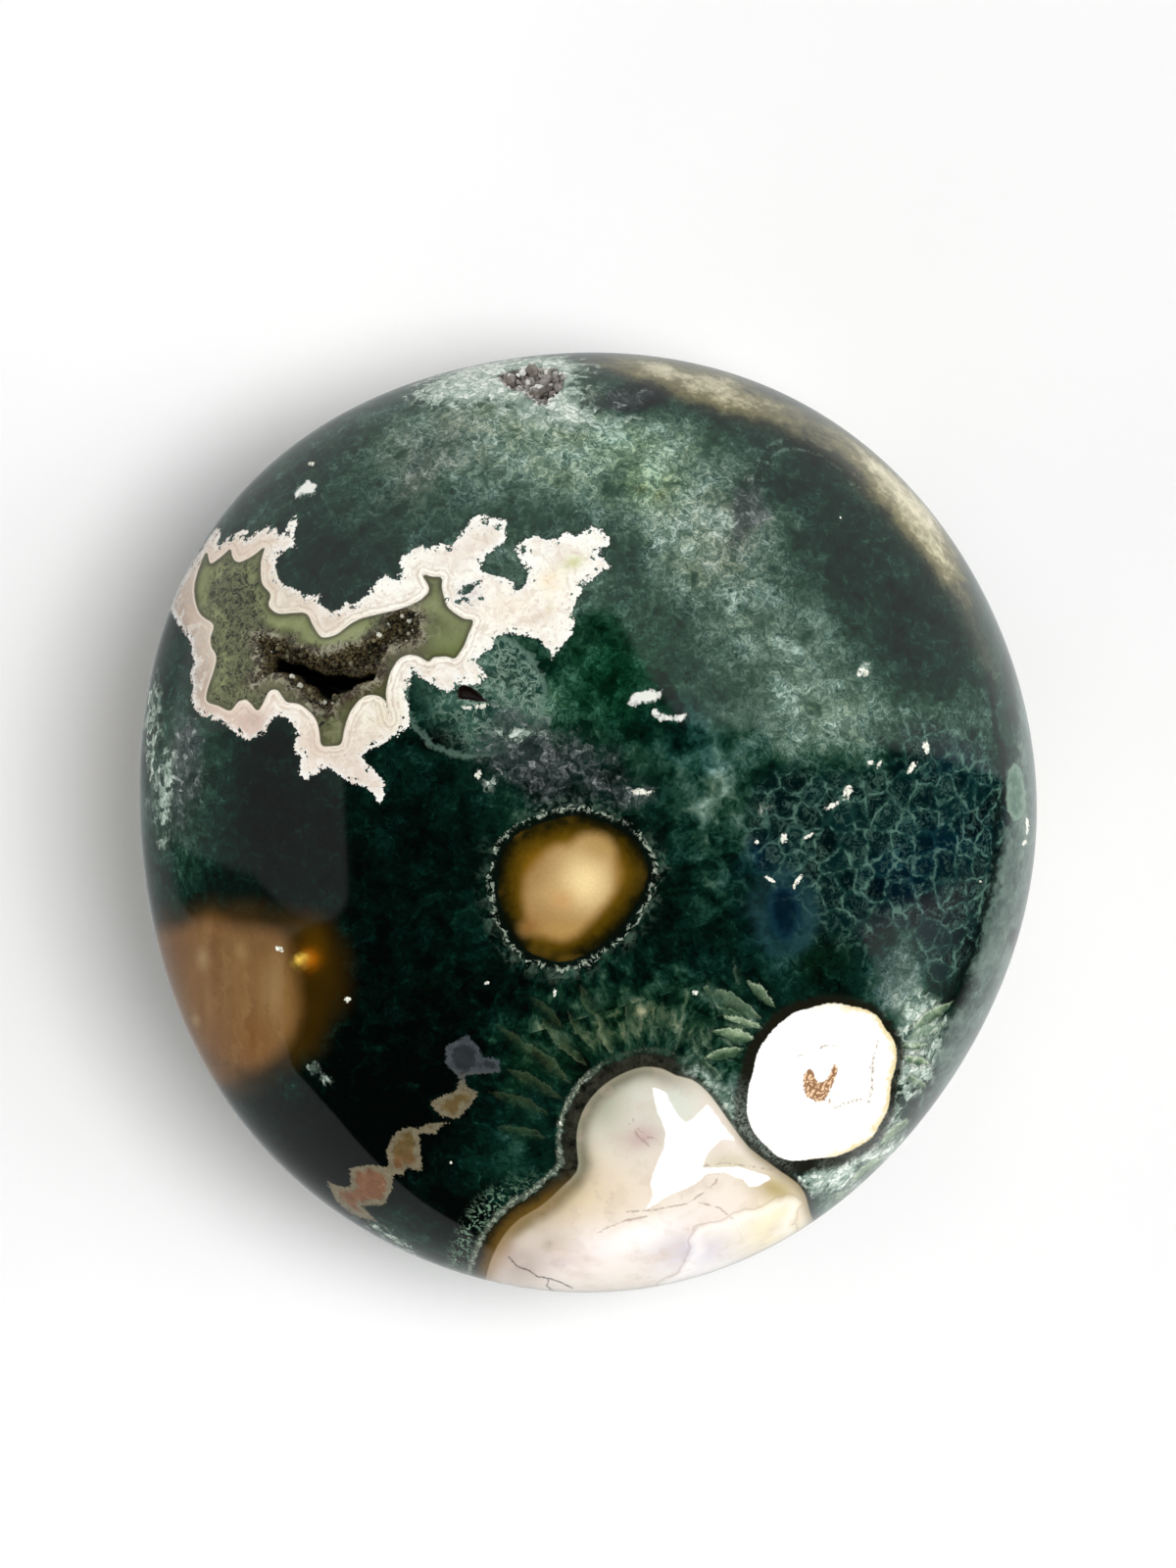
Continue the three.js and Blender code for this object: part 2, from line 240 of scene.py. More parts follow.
# Leaf-shaped crystals: the two ends of each, its width and how pale it is.
BLADES = [
    (714, 1005, 778, 1040, 17, 0.5), (761, 999, 790, 1027, 11, 0.8), (734, 1036, 782, 1050, 9, 0.9),
    (726, 1051, 776, 1061, 12, 1.0), (716, 1080, 762, 1069, 10, 0.9), (728, 1026, 764, 1036, 8, 0.7),
    (712, 1048, 728, 1072, 9, 0.2), (972, 1022, 930, 1050, 12, 0.9), (968, 1044, 924, 1062, 13, 0.4),
    (950, 1086, 920, 1078, 9, 1.0), (948, 1066, 918, 1068, 8, 0.9), (925, 1098, 945, 1110, 9, 0.7),
    (612, 1038, 626, 1078, 14, 0.3), (700, 1046, 688, 1074, 7, 0.2), (748, 978, 756, 1008, 8, 0.1),
    (706, 1056, 718, 1082, 9, 0.2), (716, 1082, 738, 1102, 9, 0.3), (664, 1034, 672, 1066, 8, 0.1),
    (895, 1172, 930, 1140, 12, 0.8), (868, 1206, 902, 1180, 11, 0.9), (850, 1226, 872, 1212, 9, 0.7),
    (905, 1196, 926, 1166, 8, 0.6), (530, 1062, 583, 1106, 17, 0.1), (552, 1038, 600, 1088, 15, 0.15),
    (516, 1090, 574, 1122, 14, 0.05), (578, 1030, 608, 1072, 12, 0.1), (498, 1114, 562, 1138, 14, 0.0),
    (505, 1150, 560, 1162, 13, 0.0), (640, 1022, 652, 1062, 13, 0.1), (592, 1004, 612, 1042, 13, 0.05),
    (540, 1016, 574, 1050, 13, 0.0), (506, 1046, 544, 1078, 13, 0.0), (676, 1020, 676, 1058, 11, 0.05),
    (722, 1000, 738, 1032, 11, 0.1),
]
# Bright specks: middle, half sizes and turn. The one at (285, 968), on the peach orb, is a painted
# highlight.
SPECKS = [
    (865, 808, 5, 9, -20), (848, 822, 9, 3, 25), (800, 855, 4, 6, 0), (772, 859, 2.5, 2.5, 0),
    (945, 762, 4, 7, 10), (888, 778, 4, 3, 0), (897, 780, 2, 6, -30), (813, 900, 2.5, 11, -35),
    (931, 782, 3, 10, -35), (786, 897, 7, 2, -30), (825, 853, 8, 2, 30), (1000, 899, 2, 2, 0),
    (355, 1020, 4, 3, 0), (318, 473, 4, 2.5, 0), (488, 790, 4, 5, 0), (655, 808, 12, 4, 0),
    (710, 1013, 4, 3, 0), (858, 528, 1.5, 1.5, 0), (285, 968, 5, 3, -20), (1048, 842, 2, 10, 0),
    (1045, 860, 3, 3, 0), (880, 686, 7, 5, 0), (566, 1012, 2, 5, 0), (497, 1003, 3, 2, 0),
    (478, 721, 8, 3, 0), (493, 720, 6, 3, 10), (572, 1146, 2, 4, 0), (460, 1186, 1.5, 1.5, 0),
]
# A dark curved line at the upper right.
ARC = [
    (772, 500), (774, 482), (780, 466), (792, 456), (808, 452), (828, 455), (846, 463), (862, 476),
    (874, 494),
]
# A dark blue window of clear quartz in the green cells, and a mint one in the rind on the right.
BLUE_DROP = [
    (786, 908), (800, 902), (812, 910), (818, 926), (817, 944), (808, 958), (797, 960), (787, 948),
    (783, 928),
]
MINT = [
    (1027, 806), (1028, 790), (1034, 779), (1041, 784), (1045, 800), (1047, 818), (1044, 832),
    (1036, 838), (1029, 828),
]
CURL = [
    (852, 1084), (855, 1092), (852, 1102), (848, 1110), (842, 1122), (832, 1124), (823, 1118),
    (819, 1106), (820, 1096), (825, 1090), (830, 1092), (832, 1100), (838, 1104), (844, 1100),
    (848, 1092),
]
TINY_PIT = [
    (468, 700), (474, 698), (480, 700), (487, 705), (494, 712), (499, 716), (490, 716), (478, 714),
    (467, 713), (466, 706),
]
POCKET_RIM = [
    (508, 384), (514, 378), (524, 375), (536, 373), (550, 372), (562, 373), (572, 376), (578, 384),
    (575, 394), (568, 404), (562, 411), (552, 414), (544, 410), (534, 402), (524, 398), (514, 394),
]
LOBE = [
    (496, 1302), (503, 1280), (514, 1260), (530, 1243), (552, 1230), (573, 1211), (589, 1194),
    (589, 1177), (588, 1160), (591, 1143), (598, 1127), (609, 1113), (624, 1101), (642, 1092),
    (658, 1088), (676, 1090), (690, 1097), (706, 1101), (718, 1110), (728, 1121), (740, 1138),
    (752, 1155), (765, 1171), (782, 1184), (797, 1195), (797, 1195), (815, 1208), (823, 1222),
    (827, 1238), (838, 1262), (850, 1290), (842, 1322), (812, 1338), (790, 1358), (778, 1388),
    (744, 1402), (716, 1386), (694, 1404), (662, 1440), (622, 1446), (598, 1424), (566, 1418),
    (536, 1388), (512, 1376), (490, 1340),
]
LOBE_BRIGHT = [
    (665, 1108), (672, 1110), (680, 1114), (686, 1128), (693, 1139), (701, 1146), (711, 1136),
    (722, 1126), (732, 1139), (742, 1153), (750, 1163), (738, 1162), (728, 1170), (720, 1180),
    (717, 1191), (734, 1191), (752, 1190), (778, 1197), (788, 1202), (774, 1210), (766, 1212),
    (757, 1203), (740, 1196), (722, 1197), (708, 1209), (686, 1218), (658, 1235), (666, 1222),
    (664, 1208), (666, 1198), (671, 1184), (678, 1169), (679, 1152), (671, 1134), (667, 1120),
]
LOBE_PALE = [
    (706, 1252), (740, 1244), (772, 1232), (803, 1220), (818, 1230), (812, 1260), (790, 1290),
    (760, 1310), (700, 1322), (660, 1318), (690, 1296), (704, 1276),
]
ZIGZAG = [
    [
        (470, 1060), (476, 1054), (482, 1062), (488, 1067), (492, 1078), (510, 1080), (510, 1094),
        (500, 1094), (474, 1097), (476, 1108), (488, 1115), (478, 1130), (467, 1141), (451, 1139),
        (438, 1125), (452, 1118), (467, 1112), (468, 1098), (455, 1086), (455, 1067),
    ],
    [
        (459, 1145), (450, 1148), (444, 1157), (427, 1155), (429, 1176), (432, 1195), (415, 1191),
        (411, 1200), (398, 1194), (394, 1174), (404, 1155), (414, 1150), (426, 1151), (436, 1146),
    ],
    [
        (402, 1192), (400, 1213), (392, 1229), (369, 1230), (386, 1247), (360, 1239), (344, 1226),
        (333, 1204), (345, 1210), (358, 1211), (357, 1192), (375, 1188),
    ],
]
# Orbs below the widest line, as directions out of the middle and sizes.
SIDE_AMBER = [((0.46, 0.86, -0.24), 4.4), ((-0.86, 0.36, -0.38), 3.0)]
SIDE_WHITE = [((0.93, -0.16, -0.34), 3.2)]
# Open lines in the lobe: soft folds, and a crack with a fork.
FOLDS = [
    [(604, 1261), (620, 1252), (640, 1245), (664, 1240)],
    [(642, 1146), (652, 1152), (660, 1160), (672, 1162)],
    [(646, 1142), (650, 1158), (662, 1168)],
    [(640, 1236), (668, 1234), (700, 1228), (716, 1218), (730, 1206), (733, 1196)],
    [(716, 1190), (740, 1186), (768, 1190), (790, 1194)],
    [(712, 1226), (734, 1232), (748, 1244), (757, 1262)],
]
CREASES = [
    [(846, 1122), (852, 1130), (862, 1126), (879, 1121)],
    [(837, 1068), (846, 1066), (855, 1069)],
    [(896, 1062), (892, 1076), (889, 1090), (890, 1106), (886, 1126)],
    [(814, 1077), (819, 1076)],
]
# A dark line down the right limb: a painted reflection of the dark horizon.
LIMB_DARK_REFLECTION = [
    [
        (1009, 690), (1013, 713), (1017, 750), (1025, 768), (1024, 807), (1016, 841), (1016, 872),
        (1014, 895), (1008, 920), (998, 950), (988, 980), (972, 1010), (958, 1034),
    ],
]
CRACKS = [
    [(519, 1282), (528, 1292), (540, 1296), (548, 1302), (560, 1304), (558, 1312), (566, 1318)],
    [(560, 1304), (572, 1308), (584, 1314)],
]
WHITE_CHIPS = [
    [(300, 507), (303, 498), (314, 489), (322, 496), (321, 503), (309, 504)],
    [
        (645, 708), (652, 706), (662, 703), (672, 704), (677, 707), (672, 712), (668, 715), (660, 718),
        (650, 717), (647, 721), (641, 718),
    ],
    [
        (666, 716), (669, 722), (673, 728), (680, 728), (690, 731), (700, 727), (697, 735), (688, 737),
        (674, 734), (667, 727),
    ],
]


def closed_curve(points, steps=4):
    """A smooth closed curve through the points."""
    p = np.array(points, float)
    before, after, later = np.roll(p, 1, 0), np.roll(p, -1, 0), np.roll(p, -2, 0)
    rows = []
    for i in range(steps):
        t = i / steps
        rows.append(
            0.5
            * (
                2 * p
                + (after - before) * t
                + (2 * before - 5 * p + 4 * after - later) * t**2
                + (3 * p - before - 3 * after + later) * t**3
            )
        )
    return np.stack(rows, axis=1).reshape(-1, 2)


TINY = 1e-12  # in place of the length of an edge that has none


def distance_to(at, outline):
    """Distance of plan points to a closed outline, below 0 inside it, in millimetres."""
    nearest = np.full(len(at), np.inf)
    inside = np.zeros(len(at), bool)
    for a, b in zip(outline, np.roll(outline, -1, axis=0)):
        edge = b - a
        share = np.clip((at - a) @ edge / max(edge @ edge, TINY), 0, 1)
        gap = at - a - share[:, None] * edge
        nearest = np.minimum(nearest, (gap**2).sum(1))
        crosses = (a[1] > at[:, 1]) != (b[1] > at[:, 1])
        run = (at[:, 1] - a[1]) / (edge[1] or TINY) * edge[0]
        inside ^= crosses & (at[:, 0] < a[0] + run)
    nearest = np.sqrt(nearest)
    return np.where(inside, -nearest, nearest)


def distance_to_lines(at, lines):
    """Distance of plan points to the nearest of some open lines."""
    nearest = np.full(len(at), np.inf)
    for line in lines:
        line = drawn(line)
        for a, b in zip(line, line[1:]):
            edge = b - a
            share = np.clip((at - a) @ edge / (edge @ edge), 0, 1)
            nearest = np.minimum(nearest, ((at - a - share[:, None] * edge) ** 2).sum(1))
    return np.sqrt(nearest)


FAR = 6.0  # distances are only kept up to this far from an outline


def kept_distance(at, outline):
    """Distance of plan points to a closed outline, cut off where it is far."""
    low, high = outline.min(0) - FAR, outline.max(0) + FAR
    close = ((at > low) & (at < high)).all(1)
    kept = np.full(len(at), FAR)
    kept[close] = np.clip(distance_to(at[close], outline), -FAR, FAR)
    return kept


def ellipse_reach(at, middle_x, middle_y, half_x, half_y, turn=0.0):
    """Distance from the middle of a drawn ellipse, as a share of its radius that way."""
    cosine, sine = math.cos(math.radians(turn)), math.sin(math.radians(turn))
    x, y = (at - drawn((middle_x, middle_y))).T
    along = (x * cosine + y * sine) / (half_x * DRAWN)
    across = (-x * sine + y * cosine) / (half_y * DRAWN)
    return np.hypot(along, across)


def wandering(at, scale, reach, seed):
    """Plan points pushed about by noise, so that soft patches get uneven edges."""
    turned = [noise.noise_vector(Vector((x * scale, y * scale, seed))) for x, y in at.tolist()]
    return at + reach * np.array(turned)[:, :2]


def patches(at, table):
    """The sum of soft round patches: middle, half sizes, turn and strength of each."""
    total = np.zeros(len(at))
    for *ellipse, strength in table:
        total += strength * np.exp(-(ellipse_reach(at, *ellipse) ** 2))
    return total


# Soft patches: middle, half sizes, turn and strength. Where the pale moss is thick, and where it is thin.
MOSS = [
    (475, 1245, 44, 34, 0, -0.2), (450, 455, 40, 16, 0, -0.12), (905, 930, 40, 14, 0, -0.12),
    (645, 402, 44, 22, 12, -0.45), (612, 410, 18, 26, 0, -0.22), (553, 680, 18, 14, 0, -0.25),
    (720, 630, 24, 22, 0, -0.16), (970, 780, 18, 16, 0, -0.16), (925, 930, 26, 12, 0, -0.14),
    (752, 1048, 16, 22, 0, 0.4), (735, 1008, 18, 16, 0, 0.3), (810, 975, 14, 12, 0, 0.16),
    (660, 1020, 14, 14, 0, -0.1), (350, 1180, 90, 60, 40, -0.3), (270, 760, 34, 16, 0, -0.12),
    (735, 800, 30, 50, 0, 0.14), (700, 1030, 60, 40, 0, 0.14), (758, 870, 26, 32, 0, 0.16),
    (800, 960, 20, 30, 0, 0.14), (515, 835, 22, 22, 0, 0.12), (940, 1050, 20, 40, 0, 0.12),
    (892, 1162, 12, 14, 0, 0.2), (555, 405, 40, 22, 0, 0.15), (450, 460, 30, 12, 0, -0.18),
    (650, 415, 14, 16, 0, -0.2), (545, 680, 18, 20, 0, -0.2), (640, 740, 24, 24, 0, -0.16),
    (435, 750, 16, 12, 0, -0.25), (950, 985, 12, 16, 0, -0.2), (735, 790, 34, 80, 0, 0.16),
    (515, 690, 28, 40, 0, 0.2), (520, 1100, 50, 50, 0, 0.1), (938, 1045, 18, 44, 0, 0.3),
    (600, 540, 420, 170, -12, 0.3), (420, 1050, 110, 170, 20, -0.16), (430, 860, 70, 60, 0, -0.08),
    (750, 1130, 26, 24, 0, 0.5), (922, 1005, 24, 44, -15, 0.22), (590, 425, 50, 22, 0, 0.2),
    (560, 455, 110, 45, 5, 0.42), (690, 500, 70, 60, -30, 0.38), (725, 590, 55, 60, -30, 0.26),
    (815, 690, 95, 60, -35, 0.26), (860, 738, 110, 40, 0, 0.26), (470, 440, 80, 30, 15, 0.3),
    (520, 712, 55, 40, 0, 0.5), (560, 400, 90, 22, -3, 0.4), (560, 520, 90, 28, 5, -0.1),
    (640, 575, 26, 50, 10, -0.2), (690, 665, 32, 42, 0, -0.12), (740, 735, 50, 30, 40, -0.12),
    (360, 560, 70, 55, 0, -0.14), (330, 460, 60, 40, 30, -0.05), (850, 540, 40, 80, 35, -0.14),
    (930, 640, 45, 80, 20, -0.14), (800, 480, 50, 35, 40, -0.08), (720, 420, 90, 25, -12, -0.1),
    (185, 800, 45, 90, 0, 0.3), (270, 840, 60, 60, 0, -0.16), (980, 750, 40, 50, 0, 0.16),
    (880, 860, 130, 70, 0, 0.14), (925, 985, 26, 40, -10, 0.16), (890, 1160, 40, 30, -30, 0.5),
    (860, 1215, 50, 30, -30, 0.5), (645, 1052, 60, 22, 0, 0.26), (730, 1120, 40, 40, 0, 0.3),
    (560, 1060, 50, 30, 30, 0.16), (520, 1170, 50, 45, -30, 0.14), (440, 900, 70, 120, 0, 0.06),
    (505, 1245, 50, 30, -40, 0.12), (430, 1270, 50, 20, -25, 0.1), (1000, 620, 20, 60, 10, 0.1),
    (640, 760, 50, 40, 0, 0.1), (385, 1240, 40, 20, -35, 0.2),
]
NET = [
    (890, 870, 110, 85, 0, 1.0), (970, 810, 60, 80, 0, 0.9), (800, 850, 50, 60, 0, 0.5),
    (980, 920, 40, 70, 0, 0.7),
]
FIBRES = [
    (610, 1040, 150, 70, 0, 1.0), (720, 800, 90, 70, 0, 0.6), (480, 1130, 90, 70, 0, 0.5),
    (730, 900, 60, 80, 0, 0.8), (450, 930, 70, 90, 0, 0.5), (740, 1080, 60, 70, 0, 0.8),
    (950, 1060, 50, 70, 0, 0.8), (870, 630, 60, 60, 0, 0.3), (700, 730, 50, 40, 0, 0.7),
    (610, 990, 90, 30, 0, 0.5),
]
GREY = [
    (640, 398, 30, 16, 12, 0.7), (560, 785, 65, 40, 0, 0.85), (530, 745, 45, 28, 0, 0.7),
    (640, 810, 40, 18, 0, 0.5), (185, 800, 26, 60, 0, 0.9), (200, 770, 20, 20, 0, 0.5),
    (530, 388, 60, 14, -5, 0.9), (420, 480, 50, 16, 40, 0.45), (760, 530, 22, 34, -20, 1.1),
    (600, 412, 50, 14, 10, 0.8), (900, 1155, 22, 20, 0, 0.6), (832, 1202, 20, 17, 0, 1.8),
    (745, 1112, 24, 18, 0, 0.5), (1040, 840, 10, 40, 0, 0.6), (880, 680, 20, 14, 0, 0.3),
]
GRANULES = [
    (240, 615, 28, 50, 0, 1.0), (232, 670, 16, 40, 0, 0.6), (258, 712, 40, 9, 0, 0.9),
    (330, 735, 10, 16, 0, 0.5), (248, 655, 20, 30, 0, 0.8), (310, 668, 60, 12, 8, 0.7),
    (400, 640, 26, 16, -20, 0.8), (445, 602, 6, 10, 0, 0.3),
]
FROST = [
    (830, 1204, 14, 12, 0, 1.2), (888, 1166, 30, 14, -35, 1.3), (920, 1088, 10, 16, 0, 0.7),
    (170, 800, 8, 40, -8, 0.7), (318, 1088, 9, 12, 0, 0.5), (334, 1102, 8, 8, 0, 0.5),
    (400, 1265, 60, 10, -32, 0.5), (550, 400, 54, 22, 0, 0.9), (156, 740, 12, 64, 0, 0.62),
    (166, 850, 8, 26, 0, 0.4), (945, 1050, 24, 36, 0, 0.8), (930, 1094, 18, 20, 0, 1.1),
    (935, 1030, 12, 22, 0, 0.3), (780, 1172, 14, 10, 40, 0.7), (756, 1150, 10, 16, 40, 0.7),
    (520, 372, 60, 9, 0, 1.0), (892, 1166, 30, 22, -40, 1.5), (862, 1206, 26, 14, -30, 1.2),
    (728, 1130, 14, 30, 40, 1.0), (750, 1158, 8, 26, 38, 1.0), (705, 1098, 20, 10, 20, 0.8),
    (500, 384, 50, 16, 6, 1.0), (562, 384, 22, 16, 0, 1.3), (582, 430, 24, 10, -10, 0.8),
    (466, 402, 30, 14, 10, 0.5), (545, 372, 60, 8, 0, 0.7), (712, 1112, 16, 10, 40, 0.6),
    (465, 394, 46, 16, 12, 1.0), (505, 402, 30, 8, -10, 0.6), (582, 414, 22, 12, -18, 1.0),
    (550, 424, 50, 9, -8, 0.5), (640, 428, 20, 8, 0, 0.5), (896, 1154, 20, 16, 0, 1.1),
    (868, 1182, 34, 13, 32, 1.0), (930, 1078, 16, 20, 0, 1.0), (945, 1040, 16, 14, 0, 0.6),
    (742, 1122, 10, 16, 40, 0.5), (1047, 850, 7, 24, 0, 1.0), (768, 1160, 8, 22, 40, 0.4),
    (740, 535, 12, 20, -10, 0.7), (715, 535, 14, 12, 0, 0.4), (884, 682, 12, 9, 0, 0.5),
    (525, 748, 40, 12, 0, 0.5), (1040, 800, 10, 24, 0, 0.7), (780, 825, 12, 10, 0, 0.4),
    (500, 800, 12, 16, 0, 0.4), (905, 1140, 12, 24, -30, 1.0),
]
# Soft patches of colour: middle, half sizes, turn, strength and display colour.
GROUND_TINTS = [
    (800, 940, 24, 50, 8, 0.7, (90, 210, 290)), (770, 885, 18, 20, 0, 0.6, (80, 200, 330)),
    (965, 860, 45, 35, 0, 0.6, (90, 210, 310)), (920, 905, 30, 30, 0, 0.55, (80, 200, 310)),
    (975, 775, 35, 20, 0, 0.5, (90, 220, 290)), (700, 750, 40, 30, -20, 0.5, (90, 230, 270)),
    (640, 1050, 90, 35, 0, 0.45, (330, 250, 170)), (560, 1090, 60, 30, 0, 0.35, (300, 265, 180)),
    (620, 690, 60, 60, 0, 0.6, (60, 255, 180)), (640, 470, 60, 40, 0, 0.25, (240, 270, 220)),
    (565, 790, 80, 45, 0, 0.6, (276, 252, 250)), (425, 480, 60, 30, 40, 0.4, (320, 250, 270)),
    (760, 540, 40, 60, -20, 0.4, (310, 250, 260)), (560, 395, 100, 22, 0, 0.6, (310, 255, 265)),
    (840, 970, 30, 30, 0, 0.5, (320, 255, 190)), (910, 1000, 30, 50, -15, 0.6, (290, 255, 290)),
    (420, 1150, 90, 80, 0, 0.5, (200, 230, 230)), (300, 850, 60, 60, 0, 0.4, (280, 250, 240)),
    (320, 520, 90, 70, 0, 0.3, (280, 250, 250)), (860, 560, 60, 90, 30, 0.35, (290, 255, 250)),
]
SPOT_TINTS = [
    (672, 505, 8, 5, 20, 0.95, (120, 105, 20)), (494, 414, 28, 8, -5, 0.9, (120, 150, 95)),
    (476, 410, 12, 7, 0, 0.8, (90, 130, 70)), (660, 498, 30, 20, 0, 0.3, (230, 250, 170)),
    (655, 500, 5, 4, 0, 0.8, (150, 150, 60)),
]
# A line of soft spots along the upper right edge: middle, width and strength.
WARM_LINE = [
    (560, 362, 8, 0.1), (620, 368, 14, 0.45), (680, 380, 20, 0.7), (735, 396, 26, 0.7),
    (790, 416, 26, 0.46), (835, 438, 24, 0.4), (880, 464, 26, 0.6), (925, 508, 28, 0.74),
    (955, 548, 26, 0.72), (985, 610, 20, 0.34), (1012, 690, 16, 0.2),
]
HEART_TINTS = [
    (545, 900, 22, 26, 0, 0.8, (146, 114, 70)), (562, 912, 24, 16, 0, 0.7, (184, 152, 98)),
    (598, 895, 32, 34, 0, 0.9, (214, 184, 128)), (597, 900, 20, 22, 0, 0.9, (240, 214, 158)),
    (574, 918, 12, 10, 0, 0.6, (196, 148, 92)), (612, 864, 18, 14, 0, 0.6, (168, 136, 76)),
    (575, 950, 30, 12, 0, 0.7, (176, 140, 80)), (538, 946, 12, 10, 0, 0.8, (128, 88, 40)),
    (632, 890, 8, 26, 0, 0.7, (140, 104, 40)),
]
# The last entry, the bright yellow spot at (307, 979), is a painted glint.
PEACH_TINTS = [
    (170, 1000, 30, 90, 0, 0.8, (98, 72, 52)), (205, 1070, 40, 30, 30, 0.7, (103, 74, 48)),
    (250, 1010, 60, 60, 0, 0.8, (112, 80, 41)), (280, 1010, 14, 40, -8, 0.9, (134, 105, 63)),
    (245, 965, 50, 10, 0, 0.6, (103, 74, 38)), (258, 1060, 20, 26, 0, 0.8, (108, 67, 20)),
    (207, 978, 6, 11, 0, 0.9, (141, 118, 83)), (246, 970, 7, 10, 0, 0.8, (139, 110, 69)),
    (213, 1020, 4, 26, 0, 0.7, (128, 98, 62)), (252, 998, 4, 5, 0, 0.6, (138, 107, 64)),
    (226, 1004, 12, 30, 0, 0.5, (92, 64, 32)), (240, 1092, 40, 10, -20, 0.7, (79, 56, 35)),
    (200, 1041, 4, 5, 0, 0.7, (144, 123, 87)), (307, 979, 6, 4, 30, 1.0, (255, 214, 90)),
]
# The last entry, the bright yellow spot at (307, 979), is a painted glint.
GLOW_TINTS = [
    (230, 925, 70, 16, 0, 0.9, (58, 42, 16)), (325, 1010, 26, 50, 0, 0.8, (44, 30, 2)),
    (322, 962, 16, 30, 0, 0.8, (70, 48, 2)), (316, 978, 9, 9, 0, 0.9, (170, 96, 8)),
    (306, 1074, 20, 16, 0, 0.8, (56, 40, 6)), (316, 1030, 16, 14, 0, 0.7, (52, 36, 4)),
    (302, 945, 16, 10, 0, 0.7, (60, 44, 10)), (240, 1112, 60, 10, -20, 0.8, (62, 50, 36)),
    (332, 1000, 12, 10, 0, 0.5, (50, 36, 4)), (307, 979, 6, 4, 30, 1.0, (255, 214, 90)),
]
# The same for a pale grey green band outside the dark line on the right: partly a rind, partly a painted
# reflection of the bright floor.
RIND_AND_REFLECTION_LINE = [
    (1036, 640, 6, 0.0), (1044, 690, 10, 0.5), (1044, 740, 14, 0.75), (1046, 790, 18, 0.9),
    (1048, 850, 18, 0.7), (1040, 910, 18, 0.75), (1024, 970, 18, 0.6), (996, 1040, 20, 0.55),
    (950, 1120, 20, 0.3), (930, 1150, 14, 0.0),
]
LOBE_TINTS = [
    (525, 1285, 26, 20, 0, 0.7, (198, 174, 160)), (630, 1130, 66, 60, 0, 0.9, (196, 200, 186)),
    (600, 1165, 26, 40, 0, 0.7, (220, 216, 200)), (640, 1150, 30, 30, 0, 0.5, (214, 204, 192)),
    (620, 1220, 60, 40, 0, 0.8, (220, 204, 180)), (575, 1225, 50, 26, 40, 0.9, (206, 184, 146)),
    (540, 1236, 50, 15, 42, 0.9, (168, 136, 84)), (512, 1262, 36, 12, 50, 0.9, (150, 120, 80)),
    (585, 1190, 20, 10, 50, 0.8, (190, 160, 100)), (655, 1160, 20, 12, 20, 0.9, (188, 162, 158)),
    (690, 1125, 22, 24, 0, 0.8, (206, 212, 198)), (655, 1262, 60, 18, 15, 0.9, (250, 246, 242)),
    (575, 1280, 60, 24, 0, 0.8, (240, 228, 226)), (520, 1290, 30, 18, 0, 0.7, (226, 206, 196)),
    (705, 1278, 40, 24, 10, 1.0, (200, 194, 204)), (735, 1238, 45, 16, 20, 0.8, (230, 216, 206)),
    (795, 1250, 34, 30, 30, 0.9, (228, 216, 172)), (790, 1212, 30, 14, -20, 0.9, (166, 148, 92)),
    (745, 1185, 26, 10, 0, 0.9, (200, 192, 166)), (560, 1270, 6, 5, 40, 0.9, (140, 120, 100)),
    (518, 1278, 12, 8, 0, 0.6, (196, 170, 162)), (750, 1302, 60, 14, 0, 0.9, (252, 250, 248)),
    (574, 1288, 10, 5, 20, 0.5, (200, 180, 190)), (616, 1130, 22, 28, 0, 0.8, (164, 166, 144)),
    (560, 1262, 30, 24, -30, 0.7, (190, 178, 160)), (530, 1290, 30, 22, 0, 0.8, (164, 152, 142)),
]
BAND_TINTS = [
    (185, 650, 50, 170, 0, 0.95, (158, 140, 126)), (240, 560, 60, 40, 0, 0.9, (214, 196, 180)),
    (290, 605, 40, 30, 0, 0.8, (204, 192, 170)), (325, 635, 24, 12, 0, 0.6, (196, 186, 160)),
    (240, 740, 60, 30, 0, 0.9, (206, 184, 168)), (330, 760, 40, 40, 0, 0.8, (224, 208, 192)),
    (390, 730, 24, 30, 0, 0.8, (230, 220, 196)), (360, 790, 40, 30, 0, 0.8, (222, 208, 196)),
    (340, 620, 40, 20, 0, 0.6, (226, 208, 194)), (470, 560, 30, 16, 30, 0.6, (236, 220, 208)),
    (520, 620, 40, 20, 0, 0.6, (244, 228, 208)), (563, 592, 14, 12, 0, 0.8, (244, 226, 190)),
    (585, 574, 12, 7, 20, 0.95, (206, 206, 150)), (561, 619, 5, 7, 0, 0.8, (224, 212, 176)),
    (480, 604, 12, 10, 0, 0.7, (206, 200, 206)), (440, 690, 30, 14, 0, 0.5, (236, 222, 208)),
    (212, 700, 16, 30, 0, 0.6, (150, 130, 118)), (258, 735, 14, 12, 0, 0.7, (188, 160, 152)),
]
